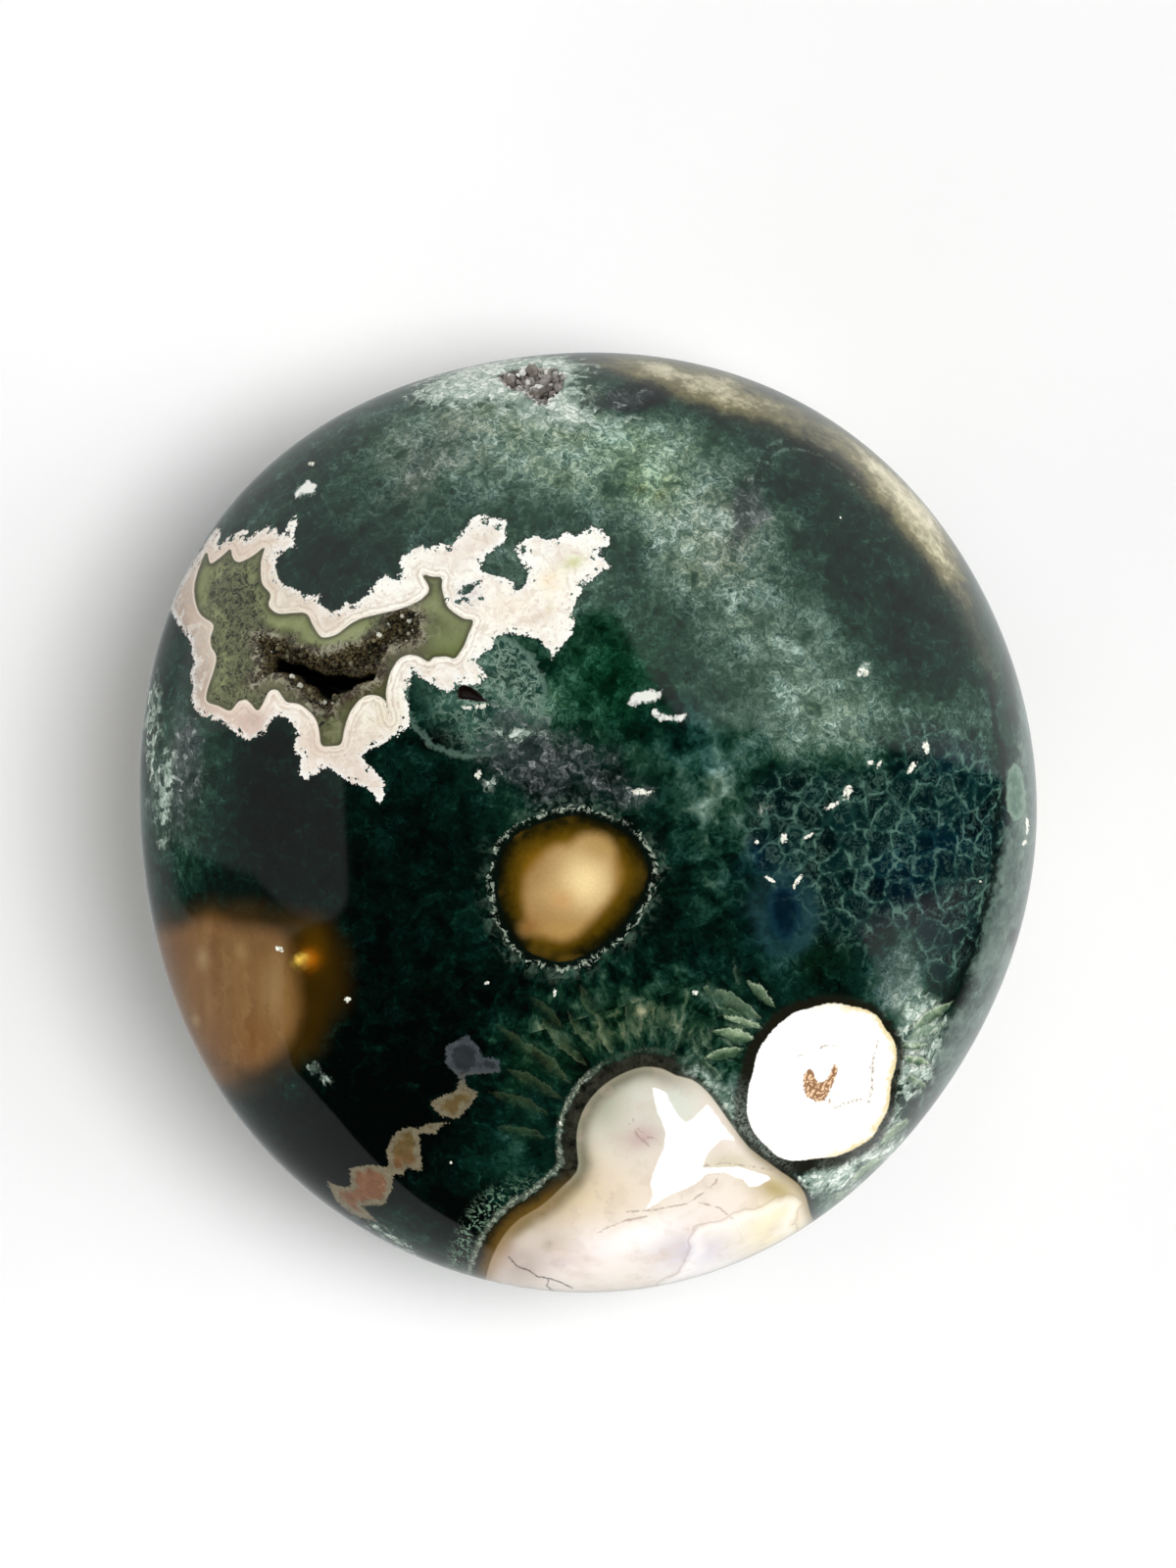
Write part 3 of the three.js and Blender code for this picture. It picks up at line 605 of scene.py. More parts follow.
JELLY_TINTS = [
    (340, 652, 60, 14, 10, 0.9, (118, 126, 80)), (300, 636, 30, 10, 10, 0.8, (104, 112, 62)),
    (372, 646, 20, 8, 0, 0.8, (140, 144, 110)), (460, 652, 24, 20, 0, 0.9, (118, 128, 80)),
    (448, 622, 14, 14, 0, 0.8, (82, 86, 54)), (226, 690, 12, 30, 0, 0.8, (80, 90, 48)),
    (243, 608, 30, 36, 0, 0.85, (26, 32, 12)), (250, 685, 18, 20, 0, 0.6, (46, 50, 28)),
    (214, 600, 10, 30, 0, 0.7, (84, 90, 60)), (340, 744, 12, 22, 0, 0.8, (88, 90, 54)),
    (262, 716, 40, 8, 0, 0.6, (66, 66, 40)), (445, 594, 8, 8, 0, 0.8, (60, 62, 44)),
    (236, 572, 30, 10, 0, 0.6, (74, 78, 50)), (360, 700, 40, 14, 20, 0.8, (84, 74, 58)),
    (404, 664, 20, 12, -30, 0.8, (96, 88, 70)), (275, 706, 26, 12, 0, 0.7, (104, 96, 70)),
    (408, 650, 22, 12, -25, 0.9, (60, 28, 12)),
]


def line_glow(at, table):
    """How strong a line of soft spots is at plan points, blended evenly along it."""
    strongest = np.zeros(len(at))
    for (ax, ay, a_width, a_strength), (bx, by, b_width, b_strength) in zip(table, table[1:]):
        a, b = drawn((ax, ay)), drawn((bx, by))
        share = np.clip((at - a) @ (b - a) / ((b - a) @ (b - a)), 0, 1)
        gap = np.linalg.norm(at - a - share[:, None] * (b - a), axis=1)
        width = (a_width + (b_width - a_width) * share) * DRAWN
        strength = a_strength + (b_strength - a_strength) * share
        strongest = np.maximum(strongest, strength * np.exp(-((gap / width) ** 2)))
    return strongest


def tinted(at, base, table):
    """Linear colours for plan points: a base colour with soft patches of others laid over it in turn."""
    colours = np.tile(np.array(rgb(*base)), (len(at), 1))
    for *ellipse, strength, colour in table:
        share = strength * np.exp(-(ellipse_reach(at, *ellipse) ** 2))
        colours += share[:, None] * (np.array(rgb(*colour)) - colours)
    return colours


def blade_distance(at, blade):
    """Distance to a leaf shape, below 0 inside it: two arcs that meet at its ends."""
    a, b, width = drawn(blade[:2]), drawn(blade[2:4]), blade[4] * DRAWN
    half = np.linalg.norm(b - a) / 2
    along = (b - a) / (2 * half)
    away = at - (a + b) / 2
    lengthways, sideways = away @ along, np.abs(away @ np.array([-along[1], along[0]]))
    sag = width / 2
    radius = (half**2 + sag**2) / (2 * sag)
    return np.hypot(lengthways, sideways + radius - sag) - radius


def blade_side(at, blade):
    """How far across a leaf shape plan points are, from -1 on its dark side to 1 on its lit side."""
    a, b, width = drawn(blade[:2]), drawn(blade[2:4]), blade[4] * DRAWN
    across = np.array([a[1] - b[1], b[0] - a[0]]) / np.linalg.norm(b - a)
    if across[1] < across[0]:
        across = -across
    return (at - (a + b) / 2) @ across / (width / 2)


# ---------------------------------------------------------------- meshes


def icosahedron():
    """Unit points and outward faces of the solid that the pebble is refined from."""
    golden = (1 + 5**0.5) / 2
    corners = [(a, b * golden) for a in (-1, 1) for b in (-1, 1)]
    points = [(a, b, 0) for a, b in corners]
    points += [(0, a, b) for a, b in corners]
    points += [(b, 0, a) for a, b in corners]
    points = np.array(points, float)
    points /= np.linalg.norm(points, axis=1, keepdims=True)
    reach = np.linalg.norm(points[:, None] - points[None], axis=2)
    near = (reach > 0.1) & (reach < 1.1)  # points that share an edge, which is 1.05 long
    faces = []
    for i in range(12):
        for j in range(i + 1, 12):
            for k in range(j + 1, 12):
                if near[i, j] and near[j, k] and near[i, k]:
                    turned = np.cross(points[j] - points[i], points[k] - points[i]) @ points[i] < 0
                    faces.append((i, k, j) if turned else (i, j, k))
    return points, np.array(faces)


def refined(directions, faces, spacing):
    """Halves edges until none is longer than the spacing asked for at its middle."""
    while True:
        points = surface(directions)
        count = len(directions)
        ends = np.sort(np.concatenate([faces[:, [0, 1]], faces[:, [1, 2]], faces[:, [2, 0]]]), axis=1)
        keys, inverse = np.unique(ends[:, 0] * count + ends[:, 1], return_inverse=True)
        a, b = keys // count, keys % count
        middles = directions[a] + directions[b]
        middles /= np.linalg.norm(middles, axis=1, keepdims=True)
        long = np.linalg.norm(points[a] - points[b], axis=1) > spacing(surface(middles))
        if not long.any():
            return directions, faces
        number = np.where(long, count + np.cumsum(long) - 1, -1)
        directions = np.concatenate([directions, middles[long]])
        cut = number[inverse].reshape(3, -1).T
        halves = (cut >= 0).sum(1)
        new_faces = [faces[halves == 0]]
        for turn in range(3):
            order = [turn, (turn + 1) % 3, (turn + 2) % 3]
            v, m = faces[:, order], cut[:, order]
            one = (halves == 1) & (m[:, 0] >= 0)
            two = (halves == 2) & (m[:, 2] < 0)
            new_faces.append(np.stack([v[one, 0], m[one, 0], v[one, 2]], 1))
            new_faces.append(np.stack([m[one, 0], v[one, 1], v[one, 2]], 1))
            new_faces.append(np.stack([m[two, 0], v[two, 1], m[two, 1]], 1))
            new_faces.append(np.stack([v[two, 0], m[two, 0], m[two, 1]], 1))
            new_faces.append(np.stack([v[two, 0], m[two, 1], v[two, 2]], 1))
        three = halves == 3
        v, m = faces[three], cut[three]
        new_faces.append(m)
        for i in range(3):
            new_faces.append(np.stack([v[:, i], m[:, i], m[:, (i + 2) % 3]], 1))
        faces = np.concatenate(new_faces)


def new_piece(name, points, faces, material, smooth=True):
    """A new object in the scene, from points in millimetres."""
    mesh = bpy.data.meshes.new(name)
    mesh.from_pydata((np.asarray(points) * MM).tolist(), [], np.asarray(faces).tolist())
    mesh.polygons.foreach_set("use_smooth", [smooth] * len(mesh.polygons))
    mesh.materials.append(material)
    mesh.update()
    piece = bpy.data.objects.new(name, mesh)
    bpy.context.scene.collection.objects.link(piece)
    return piece


def keep(piece, name, values, kind="FLOAT", key="value"):
    """Stores a value for each point of a piece, where its material can read it."""
    layer = piece.data.attributes.new(name, kind, "POINT")
    layer.data.foreach_set(key, np.ascontiguousarray(values, np.float32).ravel())


# ---------------------------------------------------------------- materials


def rgb(red, green, blue):
    """A display colour, 0 to 255 a channel, as the linear colour that shaders want."""
    share = [c / 255 for c in (red, green, blue)]
    return tuple(c / 12.92 if c <= 0.04045 else ((c + 0.055) / 1.055) ** 2.4 for c in share) + (1.0,)


def grey(share):
    """A colour with the same share in each channel."""
    return (share, share, share, 1.0)


class Wire:
    """A number or colour in a material: an output socket that can be added, multiplied and so on."""

    def __init__(self, shader, socket):
        self.shader, self.socket = shader, socket

    def __add__(self, other):
        for product, rest in ((other, self), (self, other)):
            if isinstance(product, Product):
                return self.shader.math("MULTIPLY_ADD", *product.factors, rest)
        return self.shader.math("ADD", self, other)

    def __sub__(self, other):
        return self.shader.math("SUBTRACT", self, other)

    def __rsub__(self, other):
        return self.shader.math("SUBTRACT", other, self)

    def __mul__(self, other):
        return Product(self.shader, self, other)

    def __truediv__(self, other):
        return self.shader.math("DIVIDE", self, other)

    __radd__, __rmul__ = __add__, __mul__


class Product(Wire):
    """Two factors. They take a node of their own only where they aren't added to something."""

    def __init__(self, shader, *factors):
        self.shader, self.factors, self.made = shader, factors, None

    @property
    def socket(self):
        self.made = self.made or self.shader.math("MULTIPLY", *self.factors)
        return self.made.socket


class Shader:
    """A node tree that is wired up by calls, each of which returns a Wire."""

    def __init__(self, tree):
        self.tree = tree

    def put(self, socket, value):
        """Links a wire to an input socket, or sets the socket to a plain value."""
        if isinstance(value, Wire):
            self.tree.links.new(value.socket, socket)
        else:
            socket.default_value = value

    def node(self, kind, out=0, ins=(), **props):
        """A new node with its inputs and properties set, as the wire of one of its outputs."""
        made = self.tree.nodes.new(kind)
        for key, value in props.items():
            setattr(made, key, value)
        for key, value in dict(ins).items():
            self.put(made.inputs[key], value)
        return Wire(self, made.outputs[out])

    def math(self, operation, a, b=0.0, c=0.0, clamp=False):
        return self.node("ShaderNodeMath", ins={0: a, 1: b, 2: c}, operation=operation, use_clamp=clamp)

    def vector(self, operation, a, b=(0.0, 0.0, 0.0), scale=1.0, out="Vector"):
        return self.node("ShaderNodeVectorMath", out, {0: a, 1: b, 3: scale}, operation=operation)

    def moved(self, place, push, share):
        """A place moved by a share of a push."""
        return self.vector("ADD", place, self.vector("SCALE", push, scale=share))

    def least(self, a, b):
        return self.math("MINIMUM", a, b)

    def most(self, a, b):
        return self.math("MAXIMUM", a, b)

    def size(self, a):
        return self.math("ABSOLUTE", a)

    def clear(self, a):
        """Limited to between 0 and 1."""
        return self.node("ShaderNodeClamp", ins={"Value": a})

    def rise(self, value, low, high, to=1.0):
        """A smooth step from 0 to the value to, from low to high, or back from high where low > high."""
        flip = low > high
        return self.node(
            "ShaderNodeMapRange",
            ins={
                "Value": value,
                "From Min": high if flip else low,
                "From Max": low if flip else high,
                "To Min": to if flip else 0.0,
                "To Max": 0.0 if flip else to,
            },
            interpolation_type="SMOOTHSTEP",
            clamp=False,
        )

    def bump_at(self, value, middle, width):
        """1 at the middle, falling to 0 at a width either side."""
        return self.rise(self.size(value - middle), width, 0.0)

    def mix(self, share, a, b):
        """A colour that goes from a to b with the share."""
        return self.node("ShaderNodeMix", out=2, ins={0: share, 6: a, 7: b}, data_type="RGBA")

    def laid(self, ground, *coats):
        """A colour with coats laid over it in turn, as (share, colour) pairs."""
        for share, colour in coats:
            ground = self.mix(share, ground, colour)
        return ground

    def ramp(self, value, stops):
        """Colours laid along a number, as (position, colour) stops."""
        made = self.tree.nodes.new("ShaderNodeValToRGB")
        band = made.color_ramp
        while len(band.elements) < len(stops):
            band.elements.new(0.5)
        for element, (position, colour) in zip(band.elements, stops):
            element.position, element.color = position, colour
        self.put(made.inputs[0], value)
        return Wire(self, made.outputs[0])

    def parts(self, vector):
        """A vector's x, y and z."""
        made = self.tree.nodes.new("ShaderNodeSeparateXYZ")
        self.put(made.inputs[0], vector)
        return [Wire(self, made.outputs[i]) for i in range(3)]

    def joined(self, x, y, z):
        return self.node("ShaderNodeCombineXYZ", ins={0: x, 1: y, 2: z})



class Material(Shader):
    """A material of this scene. Its place is where a point is in the object, in millimetres."""

    def __init__(self, name):
        self.material = bpy.data.materials.new(name)
        self.material.use_nodes = True
        super().__init__(self.material.node_tree)
        here = self.node("ShaderNodeTexCoord", out="Object")
        self.place = self.vector("SCALE", here, scale=1 / MM)

    def kept(self, name, out="Fac"):
        """What the mesh keeps under a name."""
        return self.node("ShaderNodeAttribute", out=out, attribute_name=name)

    def noise(self, scale, detail=3.0, roughness=0.5, at=None, out="Fac", flat=False):
        ins = {"Vector": at or self.place, "Scale": scale, "Detail": detail, "Roughness": roughness}
        dimensions = "2D" if flat else "3D"
        return self.node("ShaderNodeTexNoise", out=out, ins=ins, noise_dimensions=dimensions)

    def strong(self, value, gain):
        """A noise whose spread round its middle is widened, still within 0 to 1."""
        return self.math("MULTIPLY_ADD", value, gain, 0.5 - gain / 2, clamp=True)

    def cells(self, scale, feature="F1", at=None, out="Distance"):
        """Cells in the x and y of a place."""
        ins = {"Vector": at or self.place, "Scale": scale}
        return self.node("ShaderNodeTexVoronoi", out, ins, feature=feature, voronoi_dimensions="2D")

    def shifted(self, x, y, z, at=None):
        """A place moved by fixed amounts, so that two noises of one scale differ."""
        return self.vector("ADD", at or self.place, (x, y, z))

    def away_from(self, direction):
        """Distance from the point of the pebble that lies in a direction out of its middle."""
        point = surface(np.array([direction]) / np.linalg.norm(direction))[0]
        return self.vector("DISTANCE", self.place, tuple(point), out="Value")

    def finish(self, **values):
        """Sets inputs of the surface, with _ for a blank in their names, and returns the material."""
        surface_inputs = self.tree.nodes["Principled BSDF"].inputs
        for key, value in values.items():
            self.put(surface_inputs[key.replace("_", " ")], value)
        return self.material


# Middles of the amber orb, the pearly lobe and the white orb, in millimetres.
ORB_CENTRES = [(-1.14, -4.77), (3.9, -22.1), (16.95, -18.8)]


def share_fields(s):
    """What the mesh keeps for the layers."""
    s.x, s.y, s.z = s.parts(s.place)
    s.band_in, s.band_out, s.vug = s.kept("band_in"), s.kept("band_out"), s.kept("vug")
    s.moss, s.net, s.grey, s.warm = s.kept("moss"), s.kept("net"), s.kept("grey"), s.kept("warm")
    s.skin = s.kept("skin", "Vector")


def share_noise(s):
    """Noise shared by the layers: slow drifts, wool and grains."""
    s.slow = s.strong(s.noise(0.3, 2.0, 0.6, at=s.shifted(31, 7, 2)), 1.6)
    s.bend = s.noise(0.9, 2.0, 0.6, at=s.shifted(9, 4, 1), out="Color")
    s.bent = s.moved(s.place, s.vector("SUBTRACT", s.bend, (0.5, 0.5, 0.5)), 1.8)
    s.wool = s.strong(s.noise(1.5, 3.0, 0.66, at=s.moved(s.place, s.bend, 1.2)), 2.5)
    s.fine = s.strong(s.noise(5.0, 1.5, 0.7, at=s.shifted(3, 19, 5)), 1.8)
    s.skewed = s.moved(s.skin, s.bend, 1.8)
    s.grains = s.cells(3.0, at=s.skewed)
    s.thread = s.rise(s.size(s.noise(1.25, 2.0, 0.7, at=s.bent) - 0.5), 0.085, 0.0)
    s.dark_thread = s.rise(
        s.size(s.noise(0.95, 2.0, 0.7, at=s.shifted(17, 5, 8, s.bent)) - 0.5), 0.075, 0.0
    )
    s.clumps = s.strong(s.noise(0.5, 2.0, 0.62, at=s.shifted(5, 27, 3, s.bent)), 2.0)
    s.streaked = s.strong(s.noise(1.5, 2.0, 0.6, at=s.vector("MULTIPLY", s.bent, (0.7, 0.12, 0.12))), 1.6)
    s.uneven = (s.fine - 0.5) * 0.3 + (s.wool - 0.5) * 0.45


def carry_on_below(s):
    """Below the widest line, where nothing is drawn, noise carries on the moss, band and warm quartz."""
    s.lower = s.rise(s.z, 17.0, 13.5)
    broad = s.noise(0.05, 1.0, 0.5, at=s.shifted(60, 22, 9, s.bent))
    frill = (broad - 0.56) * 30.0 + (s.clumps - 0.5) * 1.6 - (1.0 - s.lower) * 12.0
    s.band_out, s.band_in = s.least(s.band_out, 0.0 - frill), s.least(s.band_in, 1.8 - frill)
    s.moss = s.moss + s.bump_at(broad, 0.47, 0.06) * s.lower * 0.55
    s.warm = s.warm + s.rise(broad, 0.4, 0.33, 0.6) * s.lower


def share_fibres(s):
    """Leaves and fibres that point away from the nearest of the three orbs."""
    reaches, polar = [], []
    for i, (cx, cy) in enumerate(ORB_CENTRES):
        dx, dy = s.x - cx, s.y - cy
        reach = s.math("SQRT", dx * dx + dy * dy)
        reaches.append(reach)
        polar.append(s.joined(s.math("ARCTAN2", dy, dx) * 5.5 + 40.0 * i, reach * 0.42, 0.0))
    nearer = s.math("LESS_THAN", reaches[1], reaches[0])
    place = s.mix(nearer, polar[0], polar[1])
    nearest = s.math("LESS_THAN", reaches[2] + 0.6, s.least(reaches[0], reaches[1]))
    place = s.mix(nearest, place, polar[2])
    place = s.moved(place, s.bend, 0.5)
    s.streaks = s.strong(s.noise(1.3, 3.0, 0.68, at=place, flat=True), 2.2)
    s.leaf_edge = s.cells(0.62, "DISTANCE_TO_EDGE", at=place)
    s.leaf_kind = s.parts(s.cells(0.62, at=place, out="Color"))[0]
    s.fibrous = s.clear(s.kept("fibres"))


def share_cells(s):
    """Wavy cells for the plumes, each with its own shade, and crumbs, which are smaller cells."""
    waved = s.moved(s.skin, s.bend, 1.3)
    s.edge = s.cells(0.56, "DISTANCE_TO_EDGE", at=waved)
    s.facet = s.parts(s.cells(0.56, at=waved, out="Color"))[0]
    s.crumb = s.parts(s.cells(1.7, at=s.skewed, out="Color"))[0]
    s.crumb_edge = s.rise(s.cells(1.7, "DISTANCE_TO_EDGE", at=s.skewed), 0.0, 0.14)
    s.plumes = (
        (s.facet - 0.5) * 0.12
        + s.rise(s.edge, 0.16, 0.0, 0.26) * (s.wool - 0.3)
        + s.thread * (s.clumps - 0.35) * 0.2
    )


def mossy_ground(s):
    """The dark mossy ground."""
    leafy = (s.streaks - 0.5) * 0.75 + (s.leaf_kind - 0.5) * 0.22 + s.rise(s.leaf_edge, 0.1, 0.0, 0.12)
    threaded = s.rise(s.moss + (s.clumps - 0.5) * 0.6, 0.05, 0.45)
    strokes = s.thread * 0.32 - s.dark_thread * s.rise(s.clumps, 0.3, 0.8, 0.3)
    woolly = (s.wool - 0.5) * 0.34 + (s.fine - 0.5) * 0.18 + strokes * (threaded * 0.8 + 0.2)
    woolly = woolly + ((0.8 - s.crumb_edge) * 0.12 + (s.crumb - 0.5) * 0.2) * threaded
    texture = woolly * (1.0 - s.fibrous) + leafy * s.fibrous * 1.7
    thickness = (
        s.moss
        + s.plumes * (1.0 - threaded * 0.5) * 0.8
        + (s.slow - 0.5) * 0.14
        + (s.clumps - 0.5) * (s.clear(s.moss) * 0.5 + 0.12)
        + texture * (s.clear(s.moss) * 0.48 + 0.34)
    )
    ground = s.ramp(
        s.clear(thickness * 0.9 + 0.16),
        [
            (0.0, rgb(1, 4, 3)), (0.14, rgb(2, 15, 11)), (0.28, rgb(6, 34, 26)), (0.42, rgb(28, 60, 48)),
            (0.56, rgb(62, 88, 76)), (0.7, rgb(94, 118, 104)), (0.84, rgb(130, 150, 134)),
            (1.0, rgb(182, 196, 180)),
        ],
    )
    ground = s.vector("MULTIPLY", ground, s.mix(s.clumps, (1.12, 1.0, 0.82, 1.0), (0.9, 1.0, 1.1, 1.0)))
    return s.vector("MULTIPLY", ground, s.kept("ground_tint", "Color"))


def teal_cells(s, ground):
    """Dark teal cells with broken green edges."""
    netted = s.rise(s.net + (s.slow - 0.5) * 0.4, 0.2, 0.6)
    cell = s.mix(s.facet, rgb(0, 8, 12), rgb(3, 28, 30))
    cell = s.laid(
        cell,
        (s.rise(s.edge, 0.2, 0.0, 0.5), rgb(28, 64, 56)),
        (s.rise(s.wool, 0.6, 0.9, 0.5) * s.rise(s.clumps, 0.4, 0.8), rgb(58, 92, 80)),
    )
    cell = s.vector("MULTIPLY", cell, s.kept("ground_tint", "Color"))
    ground = s.mix(netted * 0.8, ground, cell)
    web = (
        s.most(s.rise(s.edge, 0.09, 0.02), s.thread * 0.4)
        * s.rise(s.clumps * 0.6 + s.wool * 0.6, 0.4, 0.85)
        * netted
    )
    return s.mix(web * 0.65, ground, rgb(92, 124, 110))


def blue_window(s, ground):
    """A dark blue window among the cells, in a paler sheath, and a dark arc with a pale outer edge."""
    drop = s.kept("drop") + (s.wool - 0.5) * 0.3
    sheath = s.bump_at(drop, 0.5, 1.3) * (s.rise(s.clumps, 0.3, 0.7) * 0.5 + 0.3)
    ground = s.laid(
        ground,
        (sheath, rgb(32, 62, 66)),
        (s.rise(drop, 0.4, -0.4) * 0.85, s.mix(s.rise(drop, 0.0, -0.8), rgb(16, 46, 58), rgb(3, 22, 34))),
    )

    arc = s.kept("arc") + (s.wool - 0.5) * 0.3
    return s.laid(
        ground,
        (s.bump_at(arc, 0.0, 0.45) * 0.6, rgb(6, 18, 16)),
        (s.bump_at(arc, 0.42, 0.2) * s.rise(s.wool, 0.4, 0.8) * 0.5, rgb(104, 128, 116)),
    )


def tangled_round(s, ground):
    """A round of tangled green threads below the band."""
    disc = s.kept("tangle")
    within = s.rise(disc + (s.wool - 0.5) * 0.14, 1.02, 0.92) * s.rise(s.x + s.y * 0.8, -6.5, -1.0)
    tangle = s.mix(s.rise(s.clumps, 0.25, 0.75), rgb(22, 52, 46), rgb(64, 96, 84))
    rings = (
        s.rise(s.math("SINE", disc * 38.0 + (s.clumps - 0.5) * 14.0), 0.85, 1.0)
        * s.rise(disc, 0.35, 0.6)
    )
    knots = s.most(s.most(s.thread * 0.7, rings), s.rise(s.edge, 0.06, 0.0))
    knots = knots * s.rise(s.wool, 0.2, 0.6) * s.rise(s.x - s.y * 0.4, -16.4, -13.6)
    tangle = s.mix(knots * 0.9, tangle, rgb(136, 162, 146))
    return s.laid(
        ground,
        (within * 0.85, tangle),
        (s.bump_at(disc + (s.wool - 0.5) * 0.1, 0.96, 0.07) * 0.5, rgb(104, 132, 118)),
    )


def grey_grit(s, ground):
    """Grey patches of grains."""
    gritty = s.rise(s.grey * (s.wool * 0.8 + s.clumps * 0.6 + 0.2), 0.2, 0.8)
    grit = s.ramp(
        (s.wool * 0.4 + s.crumb * 0.45) * (s.crumb_edge * 0.4 + 0.6) + s.fine * 0.2,
        [
            (0.15, rgb(12, 20, 20)), (0.45, rgb(46, 54, 54)), (0.7, rgb(88, 94, 94)),
            (0.95, rgb(172, 176, 174)),
        ],
    )
    return s.mix(gritty * 0.8, ground, grit)


def frosty_crystals(s, ground):
    """Frosty crystals, whitest where the patches of frost are strongest."""
    frosted = s.rise(s.kept("frost") * (s.crumb * 0.7 + s.wool * 0.7 + 0.1), 0.2, 0.6)
    ice = s.ramp(
        (s.crumb * 0.5 + s.wool * 0.35) * (s.crumb_edge * 0.6 + 0.4)
        + s.fine * 0.2
        + s.clear(s.kept("frost") - 0.6) * 0.3,
        [
            (0.1, rgb(44, 62, 56)), (0.4, rgb(108, 130, 116)), (0.7, rgb(172, 188, 174)),
            (1.0, rgb(236, 242, 232)),
        ],
    )
    return s.mix(frosted * 0.85, ground, ice)


def brown_quartz(s, ground):
    """Brown and cream quartz along the upper right edge."""
    toasted = s.ramp(
        s.clear(s.warm + (s.slow - 0.5) * 0.4 + (s.wool - 0.5) * 0.2),
        [
            (0.0, rgb(14, 26, 24)), (0.3, rgb(52, 50, 34)), (0.55, rgb(112, 106, 74)),
            (0.75, rgb(186, 178, 148)), (1.0, rgb(236, 226, 200)),
        ],
    )
    return s.mix(s.rise(s.warm + (s.clumps - 0.5) * 0.2, 0.04, 0.5), ground, toasted)


def right_rind_and_reflections(s, ground):
    """A dark line down the right side, painted as a reflection of the dark horizon, with a smooth grey
    green band outside it, partly a rind and partly a painted reflection of the bright floor.
    """
    limb_dark_reflection = s.kept("limb_dark_reflection") + (s.wool - 0.5) * 0.24
    rind_and_reflection = s.ramp(
        s.wool * 0.3 + s.clumps * 0.6,
        [(0.2, rgb(48, 66, 60)), (0.5, rgb(80, 98, 90)), (0.85, rgb(108, 126, 116))],
    )
    # The grey green band is partly rind and partly a painted reflection of the bright floor.
    rind_and_reflection_share = (
        s.rise(s.kept("rind_and_reflection") + (s.wool - 0.5) * 0.15 + (s.clumps - 0.5) * 0.15, 0.1, 0.45)
        * s.rise(s.z, 14.0, 17.5)
    )
    ground = s.mix(rind_and_reflection_share * 0.9, ground, rind_and_reflection)
    mint = s.kept("mint") + (s.wool - 0.5) * 0.3
    return s.laid(
        ground,
        (
            s.rise(mint, 0.08, -0.08) * 0.85,
            s.mix(s.rise(mint, -0.5, -0.1), rgb(74, 104, 88), rgb(112, 136, 120)),
        ),
        # The dark line down the right limb is a painted reflection of the dark horizon.
        (s.rise(limb_dark_reflection, 0.36, 0.05) * s.rise(s.clumps, 0.15, 0.4, 0.85), rgb(6, 14, 12)),
    )


def peach_orb(s, ground):
    """Peach orb at the left edge in an amber glow."""
    glow, peach = s.kept("glow") + (s.slow - 0.5) * 1.0, s.kept("peach") + (s.slow - 0.5) * 0.3
    ground = s.mix(s.rise(glow, 1.2, -1.4), ground, s.kept("glow_tint", "Color"))
    flesh = s.mix(s.rise(s.streaked, 0.4, 0.9, 0.3), s.kept("peach_tint", "Color"), rgb(146, 112, 70))
    flesh = s.laid(
        flesh,
        (s.rise(s.streaked, 0.4, 0.1, 0.4), rgb(92, 58, 24)),
        (s.rise(s.fine, 0.5, 1.0, 0.2), rgb(140, 108, 66)),
    )
    return s.mix(s.rise(peach, 0.9, -0.9), ground, flesh)


def leaves(s, ground):
    """Leaf-shaped crystals, each lit along one side."""
    blade, pale = s.kept("blade") + (s.wool - 0.5) * 0.35, s.kept("blade_pale")
    lit = s.rise(s.kept("blade_side") + (s.wool - 0.5) * 1.2, -0.8, 0.8)
    leaf = s.mix(lit, rgb(10, 28, 20), s.mix(s.rise(s.x, 5.0, 0.0), rgb(56, 84, 66), rgb(70, 84, 54)))
    leaf = s.mix(pale * (s.streaks * 0.6 + 0.4), leaf, s.mix(lit, rgb(66, 92, 66), rgb(150, 170, 134)))
    rim_light = (
        s.bump_at(blade, -0.07, 0.1)
        * s.rise(s.fine, 0.2, 0.6)
        * s.rise(lit, 0.2, 0.9)
        * (pale * 0.8 + 0.1)
    )
    leaf = s.mix(rim_light, leaf, rgb(186, 200, 172))
    return s.laid(
        ground,
        (s.bump_at(blade, 0.1, 0.2) * (pale * 0.4 + 0.2), rgb(4, 14, 10)),
        (s.rise(blade, 0.06, -0.1) * (pale * 0.65 + 0.28), leaf),
    )


